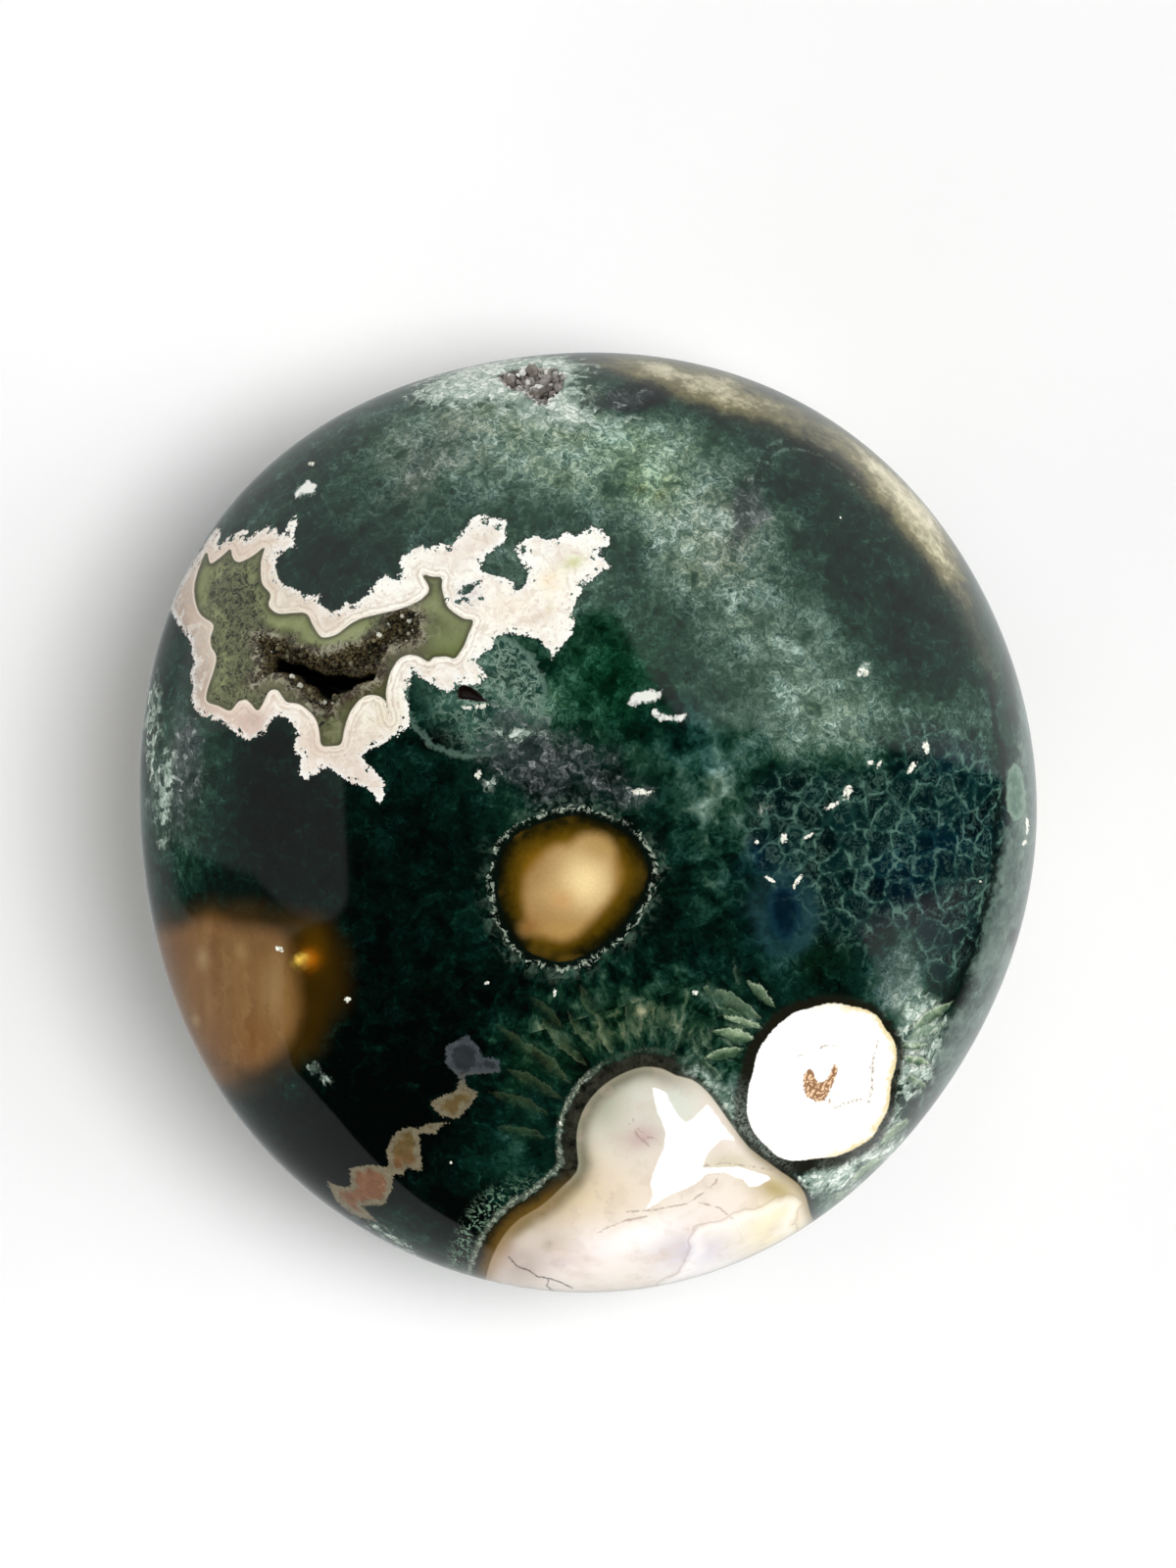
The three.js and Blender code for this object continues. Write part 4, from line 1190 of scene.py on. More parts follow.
def amber_orb(s, ground):
    """Amber orb, in a ring of pale beads."""
    amber, core = s.kept("amber"), s.kept("core")
    for direction, size in SIDE_AMBER:
        away = s.away_from(direction) + (s.slow - 0.5) * 1.2
        amber, core = s.least(amber, away - size), s.least(core, away - size * 0.62)
    halo = s.bump_at(amber + (s.clumps - 0.5) * 0.5, 1.1, 0.9) * s.rise(s.wool, 0.3, 0.8)
    ground = s.laid(
        ground,
        (halo * s.rise(s.clumps, 0.3, 0.7) * 0.5, rgb(84, 104, 90)),
        (s.rise(amber + s.uneven * 0.5, 0.75, 0.35) * 0.85, rgb(6, 12, 8)),
    )
    beads = s.bump_at(amber + (s.wool - 0.5) * 0.5, 0.55, 0.26) * s.rise(s.grains, 0.5, 0.3)
    ground = s.mix(
        beads * s.rise(s.clumps, 0.1, 0.45), ground, s.mix(s.fine, rgb(90, 104, 88), rgb(186, 198, 180))
    )
    honey = s.ramp(
        s.clear(amber * -0.42 + (s.wool - 0.5) * 0.14 + (s.slow - 0.5) * 0.2),
        [
            (0.0, rgb(10, 12, 4)), (0.14, rgb(28, 24, 4)), (0.32, rgb(58, 44, 4)), (0.6, rgb(92, 68, 10)),
            (0.95, rgb(126, 92, 22)),
        ],
    )
    honey = s.mix(s.rise(s.slow, 0.5, 0.8, 0.5), honey, rgb(104, 80, 24))
    ground = s.mix(s.rise(amber + s.uneven * 0.25, 0.08, -0.1), ground, honey)
    mottle = s.mix(s.fine, grey(0.93), grey(1.07))
    heart = s.vector("MULTIPLY", s.kept("heart_tint", "Color"), mottle)
    return s.mix(s.rise(core + (s.wool - 0.5) * 0.16, 0.4, -0.7), ground, heart)


def white_orb(s, ground):
    """White orb, in a dark ring that is widest at the lower left."""
    white = s.kept("white")
    for direction, size in SIDE_WHITE:
        white = s.least(white, s.away_from(direction) + (s.slow - 0.5) * 0.8 - size)
    ring = s.rise(s.x * 0.5 + s.y * 0.35, 5.5, -2.5, 0.4) + 0.5
    thin = s.rise(s.x * 0.6 + s.y, -11.0, -14.5) * s.rise(s.x, 15.5, 12.5)
    ring_colour = s.mix(thin * s.rise(s.fine, 0.2, 0.7), rgb(24, 22, 14), rgb(96, 102, 96))
    ground = s.mix(s.rise(white + s.uneven * 0.5 - ring, 0.35, -0.25) * 0.92, ground, ring_colour)
    wx, wy = s.x - 16.6, s.y + 18.9
    reach = s.math("SQRT", wx * wx + wy * wy * 1.2)
    disc = s.mix(s.rise(s.wool, 0.5, 0.9, 0.3), rgb(255, 254, 250), rgb(244, 238, 222))
    disc = s.mix(
        s.rise(white + (s.wool - 0.5) * 0.5, -0.6, -0.05) * s.rise(s.x, 14.0, 20.0, 0.9),
        disc,
        rgb(214, 196, 146),
    )
    smudge = s.rise(reach, 3.2, 0.8) * s.rise(wx + (s.wool - 0.5), 0.0, 0.8) * s.rise(s.clumps, 0.4, 0.7)
    disc = s.mix(smudge * s.rise(s.grains, 0.4, 0.15) * 0.7, disc, rgb(190, 168, 130))
    curl = s.rise(s.kept("curl") + (s.fine - 0.5) * 0.24, 0.06, -0.1)
    disc = s.mix(
        curl * 0.95,
        disc,
        s.mix(s.rise(s.grains - s.fine * 0.3, 0.3, 0.1), rgb(134, 88, 46), rgb(224, 190, 148)),
    )
    crease = s.rise(s.size(s.kept("crease") + (s.wool - 0.5) * 0.3), 0.2, 0.0)
    disc = s.mix(crease * s.rise(s.fine, 0.2, 0.7) * 0.9, disc, rgb(136, 114, 88))
    return s.mix(s.rise(white + (s.fine - 0.5) * 0.12, 0.05, -0.06), ground, disc)


def pearly_lobe(s, ground):
    """Pearly lobe at the lower edge, with a dark rim and a row of pale grains."""
    lobe = s.kept("lobe")
    rim = lobe + (s.wool - 0.5) * 0.3
    flank = s.rise(s.y, -24.5, -27.5) * s.rise(s.x, 4.0, 1.0)
    crumbs = s.rise(s.grains, 0.5, 0.22) * s.rise(s.wool, 0.25, 0.6)
    ground = s.mix(s.bump_at(rim, 2.3, 1.3) * flank * crumbs * 0.8, ground, rgb(116, 146, 122))
    beaded = (
        s.bump_at(rim, 1.25, 0.34)
        * s.rise(s.x, 10.0, 6.0)
        * (s.rise(s.grains, 0.5, 0.2) * 0.7 + 0.3)
    )
    ground = s.mix(
        beaded * 0.9, ground, s.mix(s.rise(s.x, -0.5, 2.0), rgb(150, 160, 142), rgb(60, 72, 58))
    )
    dark_rim = s.mix(s.wool, rgb(10, 12, 8), rgb(52, 52, 42))
    dark_rim = s.mix(flank, dark_rim, s.mix(s.rise(rim, 1.0, 0.0), rgb(30, 26, 12), rgb(92, 70, 28)))
    ground = s.laid(
        ground,
        (s.rise(rim, 1.1, 0.85) * s.rise(s.x, 8.5, 5.5), dark_rim),
        (s.rise(rim, 0.5, 0.2) * 0.8, dark_rim),
    )
    pearl = s.kept("lobe_tint", "Color")
    pearl = s.laid(
        pearl,
        (s.rise(s.slow, 0.5, 0.8, 0.4), rgb(212, 194, 180)),
        (s.rise(s.fine, 0.75, 0.95) * s.rise(s.slow, 0.45, 0.6) * 0.3, rgb(180, 156, 146)),
    )
    # Darker towards the lobe's left edge: partly thin stone over the dark ground, partly painted shade.
    thin_and_shaded_side = s.rise(s.x, 9.0, 3.0) * s.rise(s.y, -31.5, -28.5)
    pearl = s.laid(
        pearl,
        (s.rise(lobe + (s.slow - 0.5) * 0.6, -2.2, -0.5, 0.5) * thin_and_shaded_side, rgb(150, 148, 126)),
        (s.rise(lobe + (s.slow - 0.5) * 0.4, -1.4, -0.1) * thin_and_shaded_side, rgb(100, 98, 78)),
        (s.rise(lobe, -0.6, 0.0, 0.4) * s.rise(s.x, 12.5, 10.5), rgb(176, 172, 150)),
        (s.rise(lobe, -0.9, 0.1) * s.rise(s.x, 9.5, 12.5) * 0.8, rgb(112, 98, 56)),
        (s.rise(s.clumps, 0.45, 0.85, 0.22), rgb(190, 170, 150)),
        (s.rise(s.streaked, 0.55, 0.9) * s.rise(s.clumps, 0.4, 0.7) * 0.3, rgb(176, 158, 142)),
        (s.rise(lobe + (s.slow - 0.5) * 0.6, -1.6, 0.0) * flank * 0.7, rgb(136, 108, 62)),
    )
    folds = s.rise(s.size(s.kept("fold") + (s.wool - 0.5) * 0.2), 0.09, 0.0)
    pearl = s.laid(
        pearl,
        (folds * 0.6, rgb(150, 128, 116)),
        (s.rise(s.kept("bright") + (s.wool - 0.5) * 0.12, 0.05, -0.08), rgb(255, 254, 252)),
    )
    pale_fold = s.kept("pale_fold") + (s.slow - 0.5) * 1.2
    pearl = s.laid(
        pearl,
        (
            s.rise(pale_fold, 0.15, -0.5) * s.rise(pale_fold, -1.6, -0.1, 0.5) * s.rise(s.z, 14.0, 19.0),
            rgb(255, 252, 246),
        ),
        (s.bump_at(pale_fold, 0.1, 0.14) * s.rise(s.z, 14.0, 19.0) * 0.35, rgb(160, 140, 122)),
    )
    crack = s.rise(s.size(s.kept("crack") + (s.fine - 0.5) * 0.1), 0.1, 0.0)
    pearl = s.mix(crack * 0.85, pearl, rgb(60, 48, 46))
    return s.mix(s.rise(lobe, 0.05, -0.08), ground, pearl)


def vein_chips_and_specks(s, ground):
    """Zigzag vein, white chips and specks."""
    zigzag = s.kept("zigzag")
    vein = s.mix(s.rise(s.y, -17.5, -19.5), rgb(70, 76, 80), rgb(122, 114, 92))
    inner = s.mix(
        s.rise(s.y, -17.5, -19.5),
        rgb(40, 46, 48),
        s.mix(s.rise(s.y, -23.0, -25.5), rgb(104, 84, 44), rgb(124, 80, 54)),
    )
    vein = s.mix(s.rise(zigzag + (s.wool - 0.5) * 0.5, -0.2, -0.6) * 0.85, vein, inner)
    vein = s.vector(
        "MULTIPLY",
        vein,
        s.mix(s.crumb * 0.4 + s.wool * 0.6, grey(0.65), grey(1.15)),
    )
    return s.laid(
        ground,
        (s.rise(zigzag + (s.fine - 0.5) * 0.3, 0.06, -0.06) * 0.85, vein),
        (s.rise(s.kept("chips") + (s.wool - 0.5) * 0.4, 0.1, -0.14), rgb(228, 230, 222)),
        (
            s.rise(s.kept("speck") * (s.fine * 1.1 + (0.5 - s.grains) * 1.3 + 0.35), 0.35, 0.75),
            s.mix(s.fine, rgb(188, 190, 170), rgb(250, 250, 240)),
        ),
    )


def chalcedony(s, ground):
    """Green chalcedony inside the band: clear by the band, then granules, then a crust round the vug."""
    jelly = s.kept("jelly_tint", "Color")
    jelly = s.laid(
        jelly,
        (s.rise(s.slow, 0.45, 0.8, 0.5), rgb(72, 74, 46)),
        (s.rise(s.clumps, 0.5, 0.85, 0.4), rgb(150, 152, 116)),
        (s.rise(s.wool, 0.6, 0.9, 0.3), rgb(64, 68, 42)),
    )
    sunlit = (
        s.bump_at(s.band_in + (s.clumps - 0.5) * 0.5, -0.7, 0.7)
        * s.rise(s.y - s.x * 0.25, 15.0, 18.0)
    )
    jelly = s.laid(
        jelly,
        (sunlit * 0.6, rgb(140, 148, 100)),
        # A dark line just inside the band's inner edge is painted shade.
        (s.bump_at(s.band_in, -0.1, 0.25) * 0.7, rgb(70, 68, 46)),
    )
    granular = s.kept("granules") + (s.wool - 0.5) * 0.5
    pips = s.rise(s.grains, 0.42, 0.2) * s.rise(s.fine, 0.15, 0.45)
    jelly = s.laid(
        jelly,
        (s.rise(granular, 0.3, 0.6) * s.rise(s.wool, 0.2, 0.6) * 0.75, rgb(46, 48, 26)),
        (s.rise(granular, 0.25, 0.55) * pips * 0.9, rgb(22, 20, 8)),
        (
            s.rise(granular, 0.3, 0.6) * s.most(s.thread, s.rise(s.grains, 0.5, 0.75)) * 0.5,
            rgb(124, 128, 92),
        ),
    )
    near_vug = s.rise(s.vug + (s.wool - 0.5) * 0.9, 0.7, 0.0)
    crust = s.ramp(
        s.wool * 0.5 + s.fine * 0.5,
        [(0.2, rgb(10, 7, 2)), (0.5, rgb(44, 32, 16)), (0.85, rgb(132, 124, 96))],
    )
    crust = s.laid(
        crust,
        (
            s.most(s.thread, s.rise(s.edge, 0.1, 0.02)) * s.rise(s.clumps, 0.25, 0.6) * 0.7,
            rgb(170, 166, 142),
        ),
        (s.rise(s.slow, 0.5, 0.75, 0.6), rgb(52, 24, 10)),
    )
    jelly = s.mix(near_vug * 0.9, jelly, crust)
    return s.mix(s.rise(s.band_in, 0.1, -0.1), ground, jelly)


def frilled_band(s, ground):
    """The frilled band: fine layers along its inner edge, then mottling, then a whiter jagged fringe."""
    ragged = s.band_out + (s.fine - 0.5) * 0.3 + (s.wool - 0.5) * 0.3
    ragged = (
        ragged
        + s.rise(s.wool + (s.fine - 0.5) * 0.4, 0.72, 0.86) * s.rise(s.band_out, -0.8, -0.15) * 0.7
    )
    inside_band = s.rise(ragged, 0.05, -0.03) * s.rise(s.band_in, -0.05, 0.05)
    cream = s.mix(s.lower * 0.7, s.kept("band_tint", "Color"), rgb(206, 188, 168))
    layers = s.math("SINE", s.band_in * 17.0 + (s.wool - 0.5) * 4.0)
    cream = s.laid(
        cream,
        (s.rise(layers, 0.0, 0.9) * s.rise(s.band_in, 1.2, 0.2) * 0.5, rgb(178, 152, 124)),
        (s.rise(s.clumps, 0.4, 0.8) * s.rise(s.band_in, 0.1, 0.4) * 0.4, rgb(206, 184, 164)),
    )
    mottled = s.rise(s.wool, 0.5, 0.8) * s.rise(s.band_in, 0.15, 0.4)
    cream = s.laid(
        cream,
        (mottled * 0.4, rgb(200, 178, 158)),
        (s.thread * s.rise(s.band_in, 0.2, 0.5) * s.rise(s.clumps, 0.7, 0.4) * 0.12, rgb(170, 156, 146)),
        (
            s.rise(s.grains + s.wool * 0.4, 0.3, 0.16) * s.rise(s.band_in, 0.3, 0.6) * 0.5,
            rgb(140, 122, 108),
        ),
        (s.rise(s.crumb, 0.5, 1.0) * s.rise(s.band_in, 0.3, 0.6) * 0.3, rgb(255, 252, 246)),
        (s.rise(ragged, -0.45, -0.05) * s.rise(s.fine, 0.2, 0.6) * 0.5, rgb(240, 246, 246)),
        (s.bump_at(s.band_in, 0.1, 0.1) * 0.4, rgb(252, 244, 230)),
    )
    return s.laid(
        ground,
        (s.bump_at(ragged, 0.1, 0.14) * s.rise(s.band_in, 0.0, 0.3) * 0.5, rgb(14, 24, 22)),
        (inside_band, cream),
    )


def hollows(s, ground):
    """Walls and dark floors of the hollows: the vug's deep floor and the tiny pit are near black, partly
    dark stone and partly painted shade.
    """
    depth = s.kept("depth")
    wall = s.mix(s.rise(s.fine, 0.35, 0.65), rgb(20, 16, 8), rgb(88, 78, 54))
    stony = s.mix(s.rise(s.crumb * 0.6 + s.wool * 0.4, 0.3, 0.7), rgb(58, 52, 46), rgb(170, 166, 158))
    wall = s.mix(s.rise(s.y, 20.0, 24.0), wall, stony)
    return s.laid(
        ground,
        (s.rise(depth, 0.02, 0.2) * s.rise(s.kept("pit"), 0.0, 0.1), wall),
        # Near black in the tiny pit and the vug's deep floor: partly dark stone, partly painted shade.
        (s.rise(s.kept("pit") + (s.fine - 0.5) * 0.1, 0.04, -0.06), rgb(22, 14, 11)),
        (s.rise(depth, 0.9, 1.8), rgb(3, 2, 2)),
    )


# From the ground up: each of these is laid over the ones before it.
LAYERS = (
    teal_cells, blue_window, tangled_round, grey_grit, frosty_crystals, brown_quartz, right_rind_and_reflections,
    peach_orb, leaves, amber_orb, white_orb, pearly_lobe, vein_chips_and_specks, chalcedony, frilled_band,
    hollows,
)


def jasper_material():
    """The stone: shared fields and noise, a mossy ground, then the layers."""
    s = Material("jasper")
    for share in (share_fields, share_noise, carry_on_below, share_fibres, share_cells):
        share(s)
    ground = mossy_ground(s)
    for layer in LAYERS:
        ground = layer(s, ground)
    polish = s.mix(s.rise(s.kept("depth"), 0.0, 0.3), grey(0.06), grey(0.5))
    return s.finish(Base_Color=ground, Roughness=polish)


def quartz_material(name, dark, pale):
    """Quartz points that run from dark to pale with their shade and a little noise."""
    s = Material(name)
    tint = s.noise(1.4, 3.0, 0.6) * 0.5 + s.kept("shade") * 0.9
    colour = s.ramp(tint, [(0.25, dark), (0.85, pale), (1.0, rgb(206, 206, 190))])
    return s.finish(Base_Color=colour, Roughness=0.18)


def floor_material():
    """Almost white paper."""
    s = Material("pale_floor")
    shade = s.noise(0.02, 0.0)
    colour = s.mix(s.rise(shade, 0.3, 0.7), grey(0.9), grey(0.91))
    return s.finish(Base_Color=colour, Roughness=0.85, Specular_IOR_Level=0.1)


# ---------------------------------------------------------------- the stone

# Closed outlines that the mesh keeps distances to, with the steps that smooth each; 1 leaves it as drawn.
OUTLINES = {
    "band_in": (BAND_INNER, 3), "band_out": (BAND_OUTER, 1), "vug": (VUG_RIM, 2), "lobe": (LOBE, 2),
    "bright": (LOBE_BRIGHT, 1), "pale_fold": (LOBE_PALE, 1), "amber": (AMBER_RIM, 3),
    "core": (AMBER_CORE, 3), "white": (WHITE_RIM, 2), "peach": (PEACH_RIM, 3), "glow": (GLOW_RIM, 3),
    "drop": (BLUE_DROP, 2), "mint": (MINT, 2), "curl": (CURL, 2), "pit": (TINY_PIT, 1),
}
OUTLINE_GROUPS = {"zigzag": ZIGZAG, "chips": WHITE_CHIPS}
LINES = {"fold": FOLDS, "crack": CRACKS, "crease": CREASES, "limb_dark_reflection": LIMB_DARK_REFLECTION, "arc": [ARC]}
TANGLE = (484, 708, 74, 66)  # the round of tangled threads: middle and half sizes
FINE_BOX = drawn((165, 830)), drawn((635, 515))  # corners of the part with the band, where edges are short
COARSEST = 1.7  # how long an edge may be, at most
BLEND_DEPTH = 0.15  # by which the mesh's own normals have taken over from the smooth ones
NOISE_SEED = 2  # without one, noise_vector differs from run to run


def stone_spacing(points):
    """How long an edge may be: fine on the top face, finest at small marks, coarse below."""
    plan = plan_of(points)
    low, high = FINE_BOX
    off = np.maximum(np.maximum(low - plan, plan - high), 0)
    spacing = np.minimum(0.29 + 0.13 * np.hypot(off[:, 0], off[:, 1]), 0.6)
    for x, y, half_x, half_y, _ in SPECKS:
        away = np.linalg.norm(plan - drawn((x, y)), axis=1) - max(half_x, half_y) * DRAWN
        spacing = np.minimum(spacing, 0.14 + 0.4 * np.maximum(away, 0))
    for blade in BLADES:
        spacing = np.minimum(spacing, 0.26 + 0.3 * np.maximum(blade_distance(plan, blade), 0))
    to_lines = distance_to_lines(plan, FOLDS + CRACKS + CREASES + [CURL])
    spacing = np.minimum(spacing, 0.16 + 0.4 * to_lines)
    under = np.maximum(FOOT_DEPTH + 1 - points[:, 2], 0)
    return np.minimum(spacing + under * 0.12, COARSEST)


def stone_fields(plan, astray):
    """What the material reads at each point: distances, strengths of soft patches and sides of leaves."""
    fields = {}
    for name, (outline, steps) in OUTLINES.items():
        fields[name] = kept_distance(plan, drawn(closed_curve(outline, steps)))
    for name, outlines in OUTLINE_GROUPS.items():
        fields[name] = np.minimum.reduce([kept_distance(plan, drawn(one)) for one in outlines])
    for name, lines in LINES.items():
        fields[name] = np.minimum(distance_to_lines(plan, lines), FAR)
    for x, y, half_x, half_y, turn in BAND_HOLES:
        in_hole = (1 - ellipse_reach(plan, x, y, half_x, half_y, turn)) * min(half_x, half_y) * DRAWN
        fields["band_out"] = np.maximum(fields["band_out"], in_hole)

    to_blades = np.array([blade_distance(plan, blade) for blade in BLADES])
    nearest = to_blades.argmin(0)
    sides = np.array([blade_side(plan, blade) for blade in BLADES])[nearest, np.arange(len(plan))]
    fields["blade"] = np.clip(to_blades.min(0), -FAR, FAR)
    fields["blade_side"] = np.clip(sides, -2, 2)
    fields["blade_pale"] = np.array([blade[5] for blade in BLADES])[nearest]

    # The moss levels off where its patches overlap.
    fields["moss"] = 0.75 * np.tanh(patches(astray, MOSS) / 0.62)
    for name, at, table in (
        ("net", astray, NET), ("grey", astray, GREY), ("fibres", plan, FIBRES), ("frost", plan, FROST),
        ("granules", plan, GRANULES), ("speck", plan, [(*speck, 1.0) for speck in SPECKS]),
    ):
        fields[name] = patches(at, table)
    fields["tangle"] = np.minimum(ellipse_reach(plan, *TANGLE), 2.0)
    fields["warm"], fields["rind_and_reflection"] = line_glow(plan, WARM_LINE), line_glow(astray, RIND_AND_REFLECTION_LINE)
    return fields


def stone_tints(plan, astray):
    """The colours that the material reads at each point."""
    ground = tinted(astray, (255, 255, 255), GROUND_TINTS) * tinted(plan, (255, 255, 255), SPOT_TINTS)
    return {
        "ground_tint": ground,
        "lobe_tint": tinted(plan, (226, 216, 204), LOBE_TINTS),
        "band_tint": tinted(plan, (253, 251, 240), BAND_TINTS),
        "heart_tint": tinted(plan, (160, 126, 76), HEART_TINTS),
        "peach_tint": tinted(plan, (112, 78, 38), PEACH_TINTS),
        "glow_tint": tinted(plan, (42, 28, 4), GLOW_TINTS),
        "jelly_tint": tinted(plan, (82, 86, 54), JELLY_TINTS),
    }


def rough_at(points, scale, seed):
    """Solid noise at points of the stone."""
    shift = Vector((seed * 7.1, seed * 3.3, seed * 5.7))
    return np.array([noise.fractal(Vector(p) * scale + shift, 0.8, 2.0, 3) for p in points.tolist()])


def sunk(to_outline, width):
    """0 outside an outline, rising smoothly to 1 at a width inside it."""
    share = np.clip(-to_outline / width, 0, 1)
    return share**2 * (3 - 2 * share)


directions, faces = refined(*icosahedron(), stone_spacing)
points = surface(directions)
normals = surface_normals(directions)
plan = plan_of(points)
upper = points[:, 2] > FOOT_DEPTH
noise.seed_set(NOISE_SEED)
astray = wandering(wandering(plan, 0.22, 1.6, 4), 0.6, 0.8, 7)
fields = stone_fields(plan, astray)

# The hollows: a slope in from each rim, then a steep drop in the vug, and one tiny pit.
ragged = rough_at(points, 1.3, 1) * 0.25
to_deep = kept_distance(plan, drawn(closed_curve(VUG_DEEP, 2)))
to_pocket = kept_distance(plan, drawn(closed_curve(POCKET_RIM, 2)))
vug_depth = 1.2 * sunk(fields["vug"] + ragged, 1.2) + 3.6 * sunk(to_deep + ragged * 0.5, 0.5)
pocket_depth = 1.6 * sunk(to_pocket + ragged, 0.9)
depth = np.where(upper, np.maximum(vug_depth, pocket_depth) + 0.7 * sunk(fields["pit"], 0.25), 0)
fields["depth"] = depth
points = points - normals * depth[:, None]

stone = new_piece("jasper_stone", points, faces, jasper_material())
for name, values in fields.items():
    keep(stone, name, values)
for name, values in stone_tints(plan, astray).items():
    keep(stone, name, values, "FLOAT_COLOR", "color")
keep(stone, "skin", skin_of(directions), "FLOAT_VECTOR", "vector")

# Smooth normals, but those of the mesh itself in the hollows.
mesh_normals = np.array([vertex.normal for vertex in stone.data.vertices])
hollow = np.clip(depth / BLEND_DEPTH, 0, 1)[:, None]
blended = normals * (1 - hollow) + mesh_normals * hollow
stone.data.normals_split_custom_set_from_vertices(blended.tolist())

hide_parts("stone")
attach(stone, "root")


# ---------------------------------------------------------------- crystals

OUT_OF_HOLLOW = 0.02  # how far a quartz point may stand out of its hollow
LEAST_REACH = 0.05  # the height that even a point lying flat is given room for


def quartz_point(base, direction, radius, length, turn):
    """A six-sided prism with a pyramid on its end, as points and faces."""
    tilt = Vector((0, 0, 1)).rotation_difference(Vector(direction)).to_matrix()
    shoulder, foot = length * 0.55, -0.3 * radius
    angles = [turn + i * math.pi / 3 for i in range(6)]
    ring = [(math.cos(angle) * radius, math.sin(angle) * radius) for angle in angles]
    local = [Vector((x, y, foot)) for x, y in ring] + [Vector((x, y, shoulder)) for x, y in ring]
    local += [Vector((0, 0, length)), Vector((0, 0, foot))]
    spots = [tuple(Vector(base) + tilt @ point) for point in local]
    sides = []
    for i in range(6):
        j = (i + 1) % 6
        sides += [(i, j, j + 6), (i, j + 6, i + 6), (i + 6, j + 6, 12), (j, i, 13)]
    return spots, sides


def crystal_bed(name, node, material, zone, wanted, sizes, seed, spread, large=()):
    """Small quartz points on the walls of a hollow, and some large ones: x, y, radius and shade."""
    random = np.random.default_rng(seed)
    chosen = random.choice(np.flatnonzero(zone), min(wanted, zone.sum()), replace=False)
    smallest, largest = sizes
    stands = [
        (i, smallest + (largest - smallest) * random.random() ** 3, 0.75 * random.random() ** 2)
        for i in chosen
    ]
    for x, y, radius, shade in large:
        away = np.where(upper, np.linalg.norm(plan - drawn((x, y)), axis=1), np.inf)
        stands.append((np.argmin(away), radius, shade))
    spots, sides, shades = [], [], []
    for index, radius, shade in stands:
        lean = random.normal(0, spread, 3)
        direction = mesh_normals[index] * 0.6 + normals[index] * 0.7 + lean
        direction /= np.linalg.norm(direction)
        length = radius * random.uniform(1.3, 2.2)
        reach = max(direction @ normals[index] * length, LEAST_REACH)
        room = min(1, (depth[index] + OUT_OF_HOLLOW) / reach)
        new_spots, new_sides = quartz_point(
            points[index], direction, radius * room, length * room, random.random() * 3
        )
        sides += [tuple(i + len(spots) for i in side) for side in new_sides]
        spots += new_spots
        shades += [shade] * len(new_spots)
    bed = new_piece(name, spots, sides, material, smooth=False)
    keep(bed, "shade", shades)
    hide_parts(node)
    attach(bed, "root")


VUG_CRYSTALS = [
    (386, 645, 0.22, 1.0), (396, 637, 0.2, 0.9), (375, 653, 0.22, 0.8), (338, 722, 0.34, 0.5),
    (312, 704, 0.26, 0.6), (305, 698, 0.2, 0.8), (318, 712, 0.22, 0.5), (416, 629, 0.24, 1.0),
    (425, 634, 0.2, 0.4), (257, 645, 0.16, 1.0), (268, 643, 0.18, 0.6), (352, 712, 0.22, 0.5),
    (362, 703, 0.2, 0.3), (296, 690, 0.18, 0.8), (410, 640, 0.22, 0.2), (330, 660, 0.15, 0.6),
    (346, 664, 0.14, 0.8), (280, 690, 0.16, 0.4), (326, 716, 0.2, 0.9), (345, 717, 0.18, 0.8),
    (300, 703, 0.15, 0.5), (370, 699, 0.18, 0.7), (384, 692, 0.15, 0.6),
]
crystal_bed(
    "vug_quartz", "vug_crystals",
    quartz_material("olive_quartz", rgb(22, 17, 8), rgb(110, 104, 78)),
    upper & (fields["vug"] + ragged < 0.1) & (to_deep > 0.22),
    700, (0.05, 0.22), 3, 0.45, VUG_CRYSTALS,
)
crystal_bed(
    "pocket_quartz", "pocket_crystals",
    quartz_material("grey_quartz", rgb(112, 104, 96), rgb(230, 230, 226)),
    upper & (to_pocket < 0.0) & (depth > 0.05),
    130, (0.14, 0.5), 5, 0.9,
)

# ---------------------------------------------------------------- floor, light and camera

FLOOR_REACH = 3.0
FLOOR_LIGHT = 3.62  # irradiance that makes the floor almost white
SUN_WIDTH = 24  # degrees across each sun, for soft shadows
# Suns: name, azimuth, elevation and share of the floor's light.
SUNS = [("key", 0, 75, 0.47), ("side", 0, 59, 0.13), ("overhead", 140, 76, 0.05)]
# Low suns all round, which fill the shadows: azimuth and share.
RING = [
    (0, 0.068), (30, 0.028), (90, 0.02), (120, 0.028), (150, 0.02), (180, 0.034), (210, 0.037),
    (240, 0.048), (270, 0.031), (330, 0.036),
]
SUNS += [(f"fill_{azimuth}", azimuth, 12, share) for azimuth, share in RING]


def lay_floor():
    corners = [(-1, -1), (1, -1), (1, 1), (-1, 1)]
    mesh = bpy.data.meshes.new("floor")
    mesh.from_pydata([(x * FLOOR_REACH, y * FLOOR_REACH, 0) for x, y in corners], [], [(0, 1, 2, 3)])
    mesh.materials.append(floor_material())
    floor = bpy.data.objects.new("floor", mesh)
    bpy.context.scene.collection.objects.link(floor)
    floor.visible_glossy = False


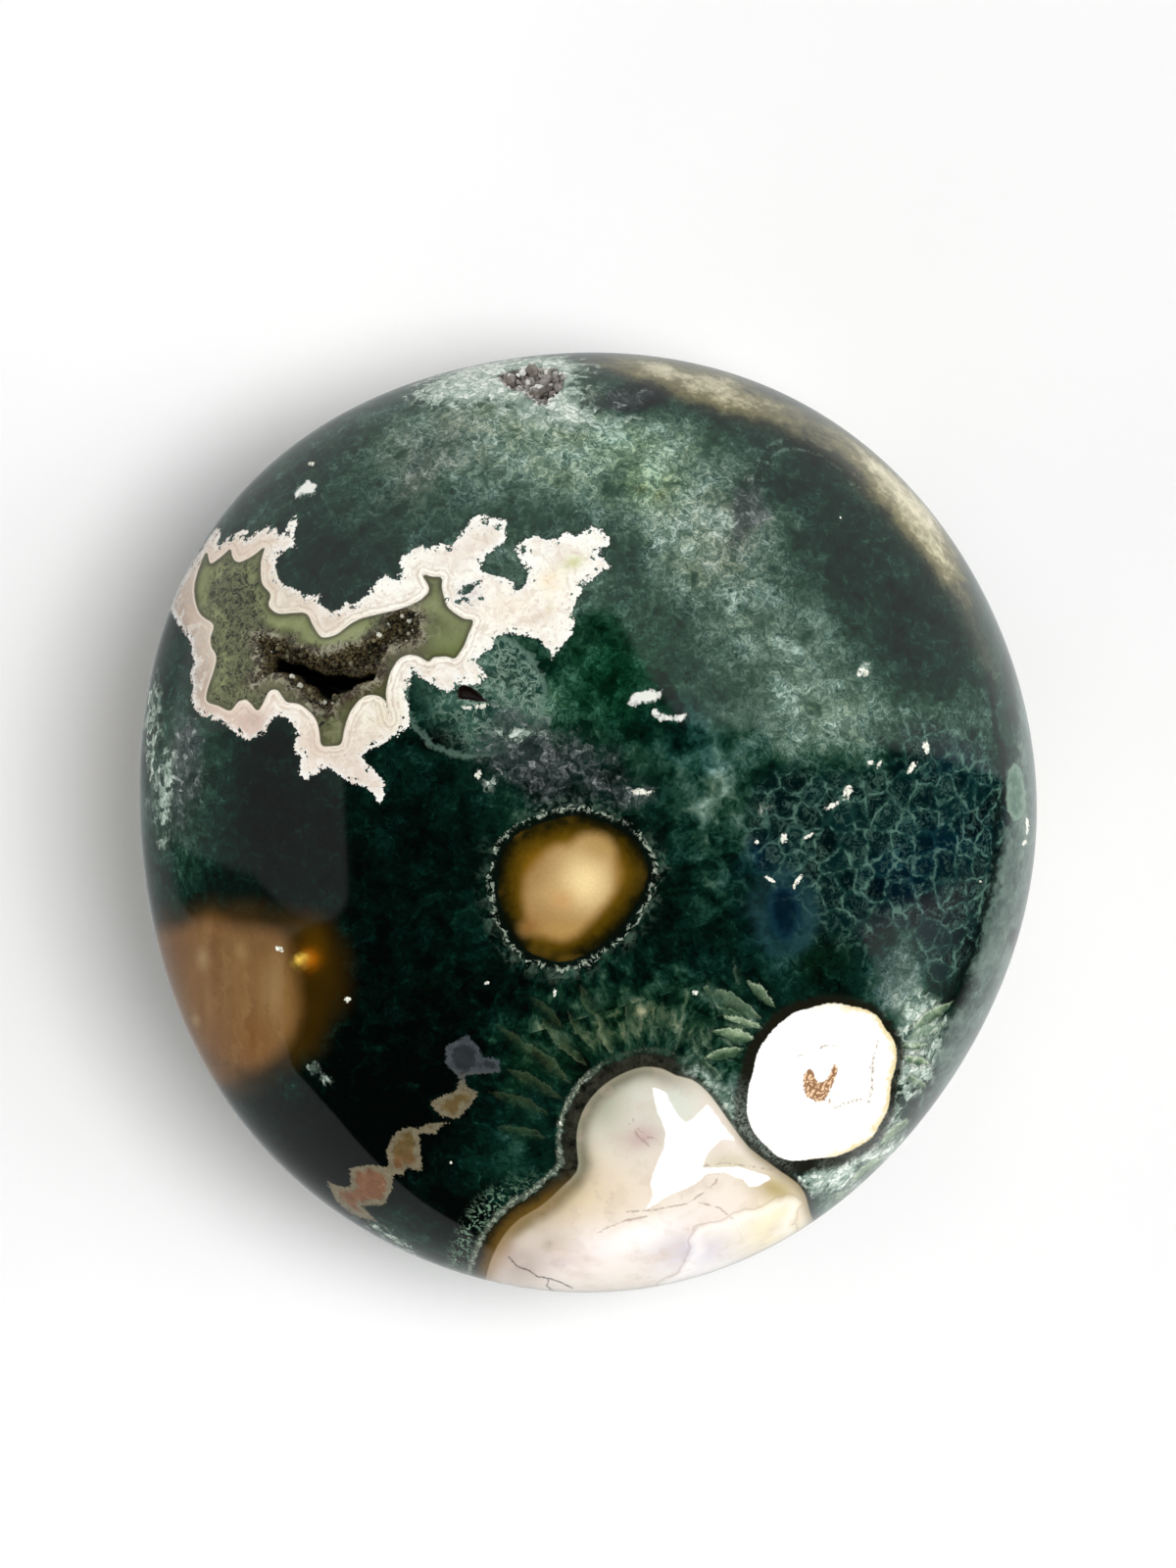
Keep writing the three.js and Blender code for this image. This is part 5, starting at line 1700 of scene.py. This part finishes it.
def soft_sun(name, azimuth, elevation, share):
    """A wide, soft sun that gives the floor a share of its light and makes no highlight on the polish."""
    turn, lift = math.radians(azimuth), math.radians(elevation)
    towards = Vector((math.cos(turn) * math.cos(lift), math.sin(turn) * math.cos(lift), math.sin(lift)))
    data = bpy.data.lights.new(name, "SUN")
    data.angle = math.radians(SUN_WIDTH)
    data.energy = share * FLOOR_LIGHT / math.sin(lift)
    sun = bpy.data.objects.new(name, data)
    sun.location = towards
    sun.rotation_euler = towards.to_track_quat("Z", "Y").to_euler()
    sun.visible_glossy = False
    bpy.context.scene.collection.objects.link(sun)


# The edges of the pale sheets that the polish reflects, as seen straight down on the room's floor.
TOP_EDGE = [
    (-0.35, 0.12), (-0.13, 0.21), (-0.03, 0.231), (0.006, 0.243), (0.041, 0.146), (0.075, 0.09), (0.9, 0.1),
]
LEFT_EDGE = [
    (-1.16, -0.375), (-0.975, -0.47), (-0.827, -0.516), (-0.631, -0.576), (-0.56, -0.632),
    (-0.522, -0.682), (-0.396, -0.644), (-0.262, -0.568), (-0.177, -0.51), (-0.139, -0.433),
    (-0.115, -0.349), (-0.088, -0.315), (-0.041, -0.305), (0.12, -0.3),
]
GAP_TOP = [(-1.16, -0.1), (-0.62, -0.082), (-0.5, -0.114), (-0.4, -0.125)]
GAP_BOTTOM = [(-1.27, -0.292), (-0.713, -0.195), (-0.486, -0.158), (-0.4, -0.14)]
LINE_REACH = 1.5  # an edge's line runs from minus to plus this


class Room(Shader):
    """The world, which is only for reflections."""

    def edge_line(self, value, edge):
        """The height of a line of straight pieces over a value."""
        span = 2 * LINE_REACH
        stops = [(over / span + 0.5, grey(height / span + 0.5)) for over, height in edge]
        return self.ramp(value / span + 0.5, stops) * span - LINE_REACH

    def sheets(self, across, along):
        """Three pale sheets with straight edges: one at the top, one at the left and one in a corner."""
        top = self.rise(along - self.edge_line(across, TOP_EDGE), 0.0, 0.012)
        left = self.rise(self.edge_line(along, LEFT_EDGE) - across, 0.0, 0.012) * self.rise(along, 0.2, 0.1)
        below_top = self.rise(self.edge_line(across, GAP_TOP) - along, 0.0, 0.02)
        above_bottom = self.rise(along - self.edge_line(across, GAP_BOTTOM), 0.0, 0.02)
        left = left * (1.0 - below_top * above_bottom * 0.85)
        corner = self.rise((across - 0.417) + (along + 0.18) * 1.09, 0.0, 0.02)
        corner = corner * self.rise(along, -0.14, -0.2) * self.rise(across, 1.3, 0.5)
        return self.most(self.most(top * 0.7, left * 0.34), corner * 0.7)


def furnish_room():
    """Dark overhead, with pale sheets, and a glow from below that the stone's sides reflect."""
    world = bpy.data.worlds.new("studio")
    bpy.context.scene.world = world
    world.use_nodes = True
    world.cycles_visibility.diffuse = False
    room = Room(world.node_tree)
    dx, dy, dz = room.parts(room.node("ShaderNodeTexCoord", out="Generated"))
    sheets = room.sheets(dx / (dz + 1.0), dy / (dz + 1.0))
    below = room.rise(dz, -0.3, -0.55)
    glow = room.rise(dx - dy * 0.1, -0.5, 0.75, 0.6) + room.rise(dy, 0.1, 0.8, 0.35) + 0.3
    background = world.node_tree.nodes["Background"]
    room.put(background.inputs["Strength"], sheets * (1.0 - below) + below * glow + 0.01)
    room.put(background.inputs["Color"], (0.96, 1.0, 1.0, 1.0))


FRAME_HEIGHT = 0.1139  # of the picture at the stone's widest line, in metres


def place_camera():
    """A camera straight above, at the distance that the plan is drawn for."""
    eye = bpy.data.cameras.new("eye")
    eye.sensor_fit = "VERTICAL"
    eye.angle = 2 * math.atan(FRAME_HEIGHT / 2 / DISTANCE)
    camera = bpy.data.objects.new("eye", eye)
    camera.location = (AIM[0] * MM, AIM[1] * MM, FOOT_DEPTH * MM + DISTANCE)
    bpy.context.scene.collection.objects.link(camera)
    bpy.context.scene.camera = camera


lay_floor()
for sun in SUNS:
    soft_sun(*sun)
furnish_room()
place_camera()
bpy.context.scene.view_settings.view_transform = "Standard"

bpy.context.view_layer.update()
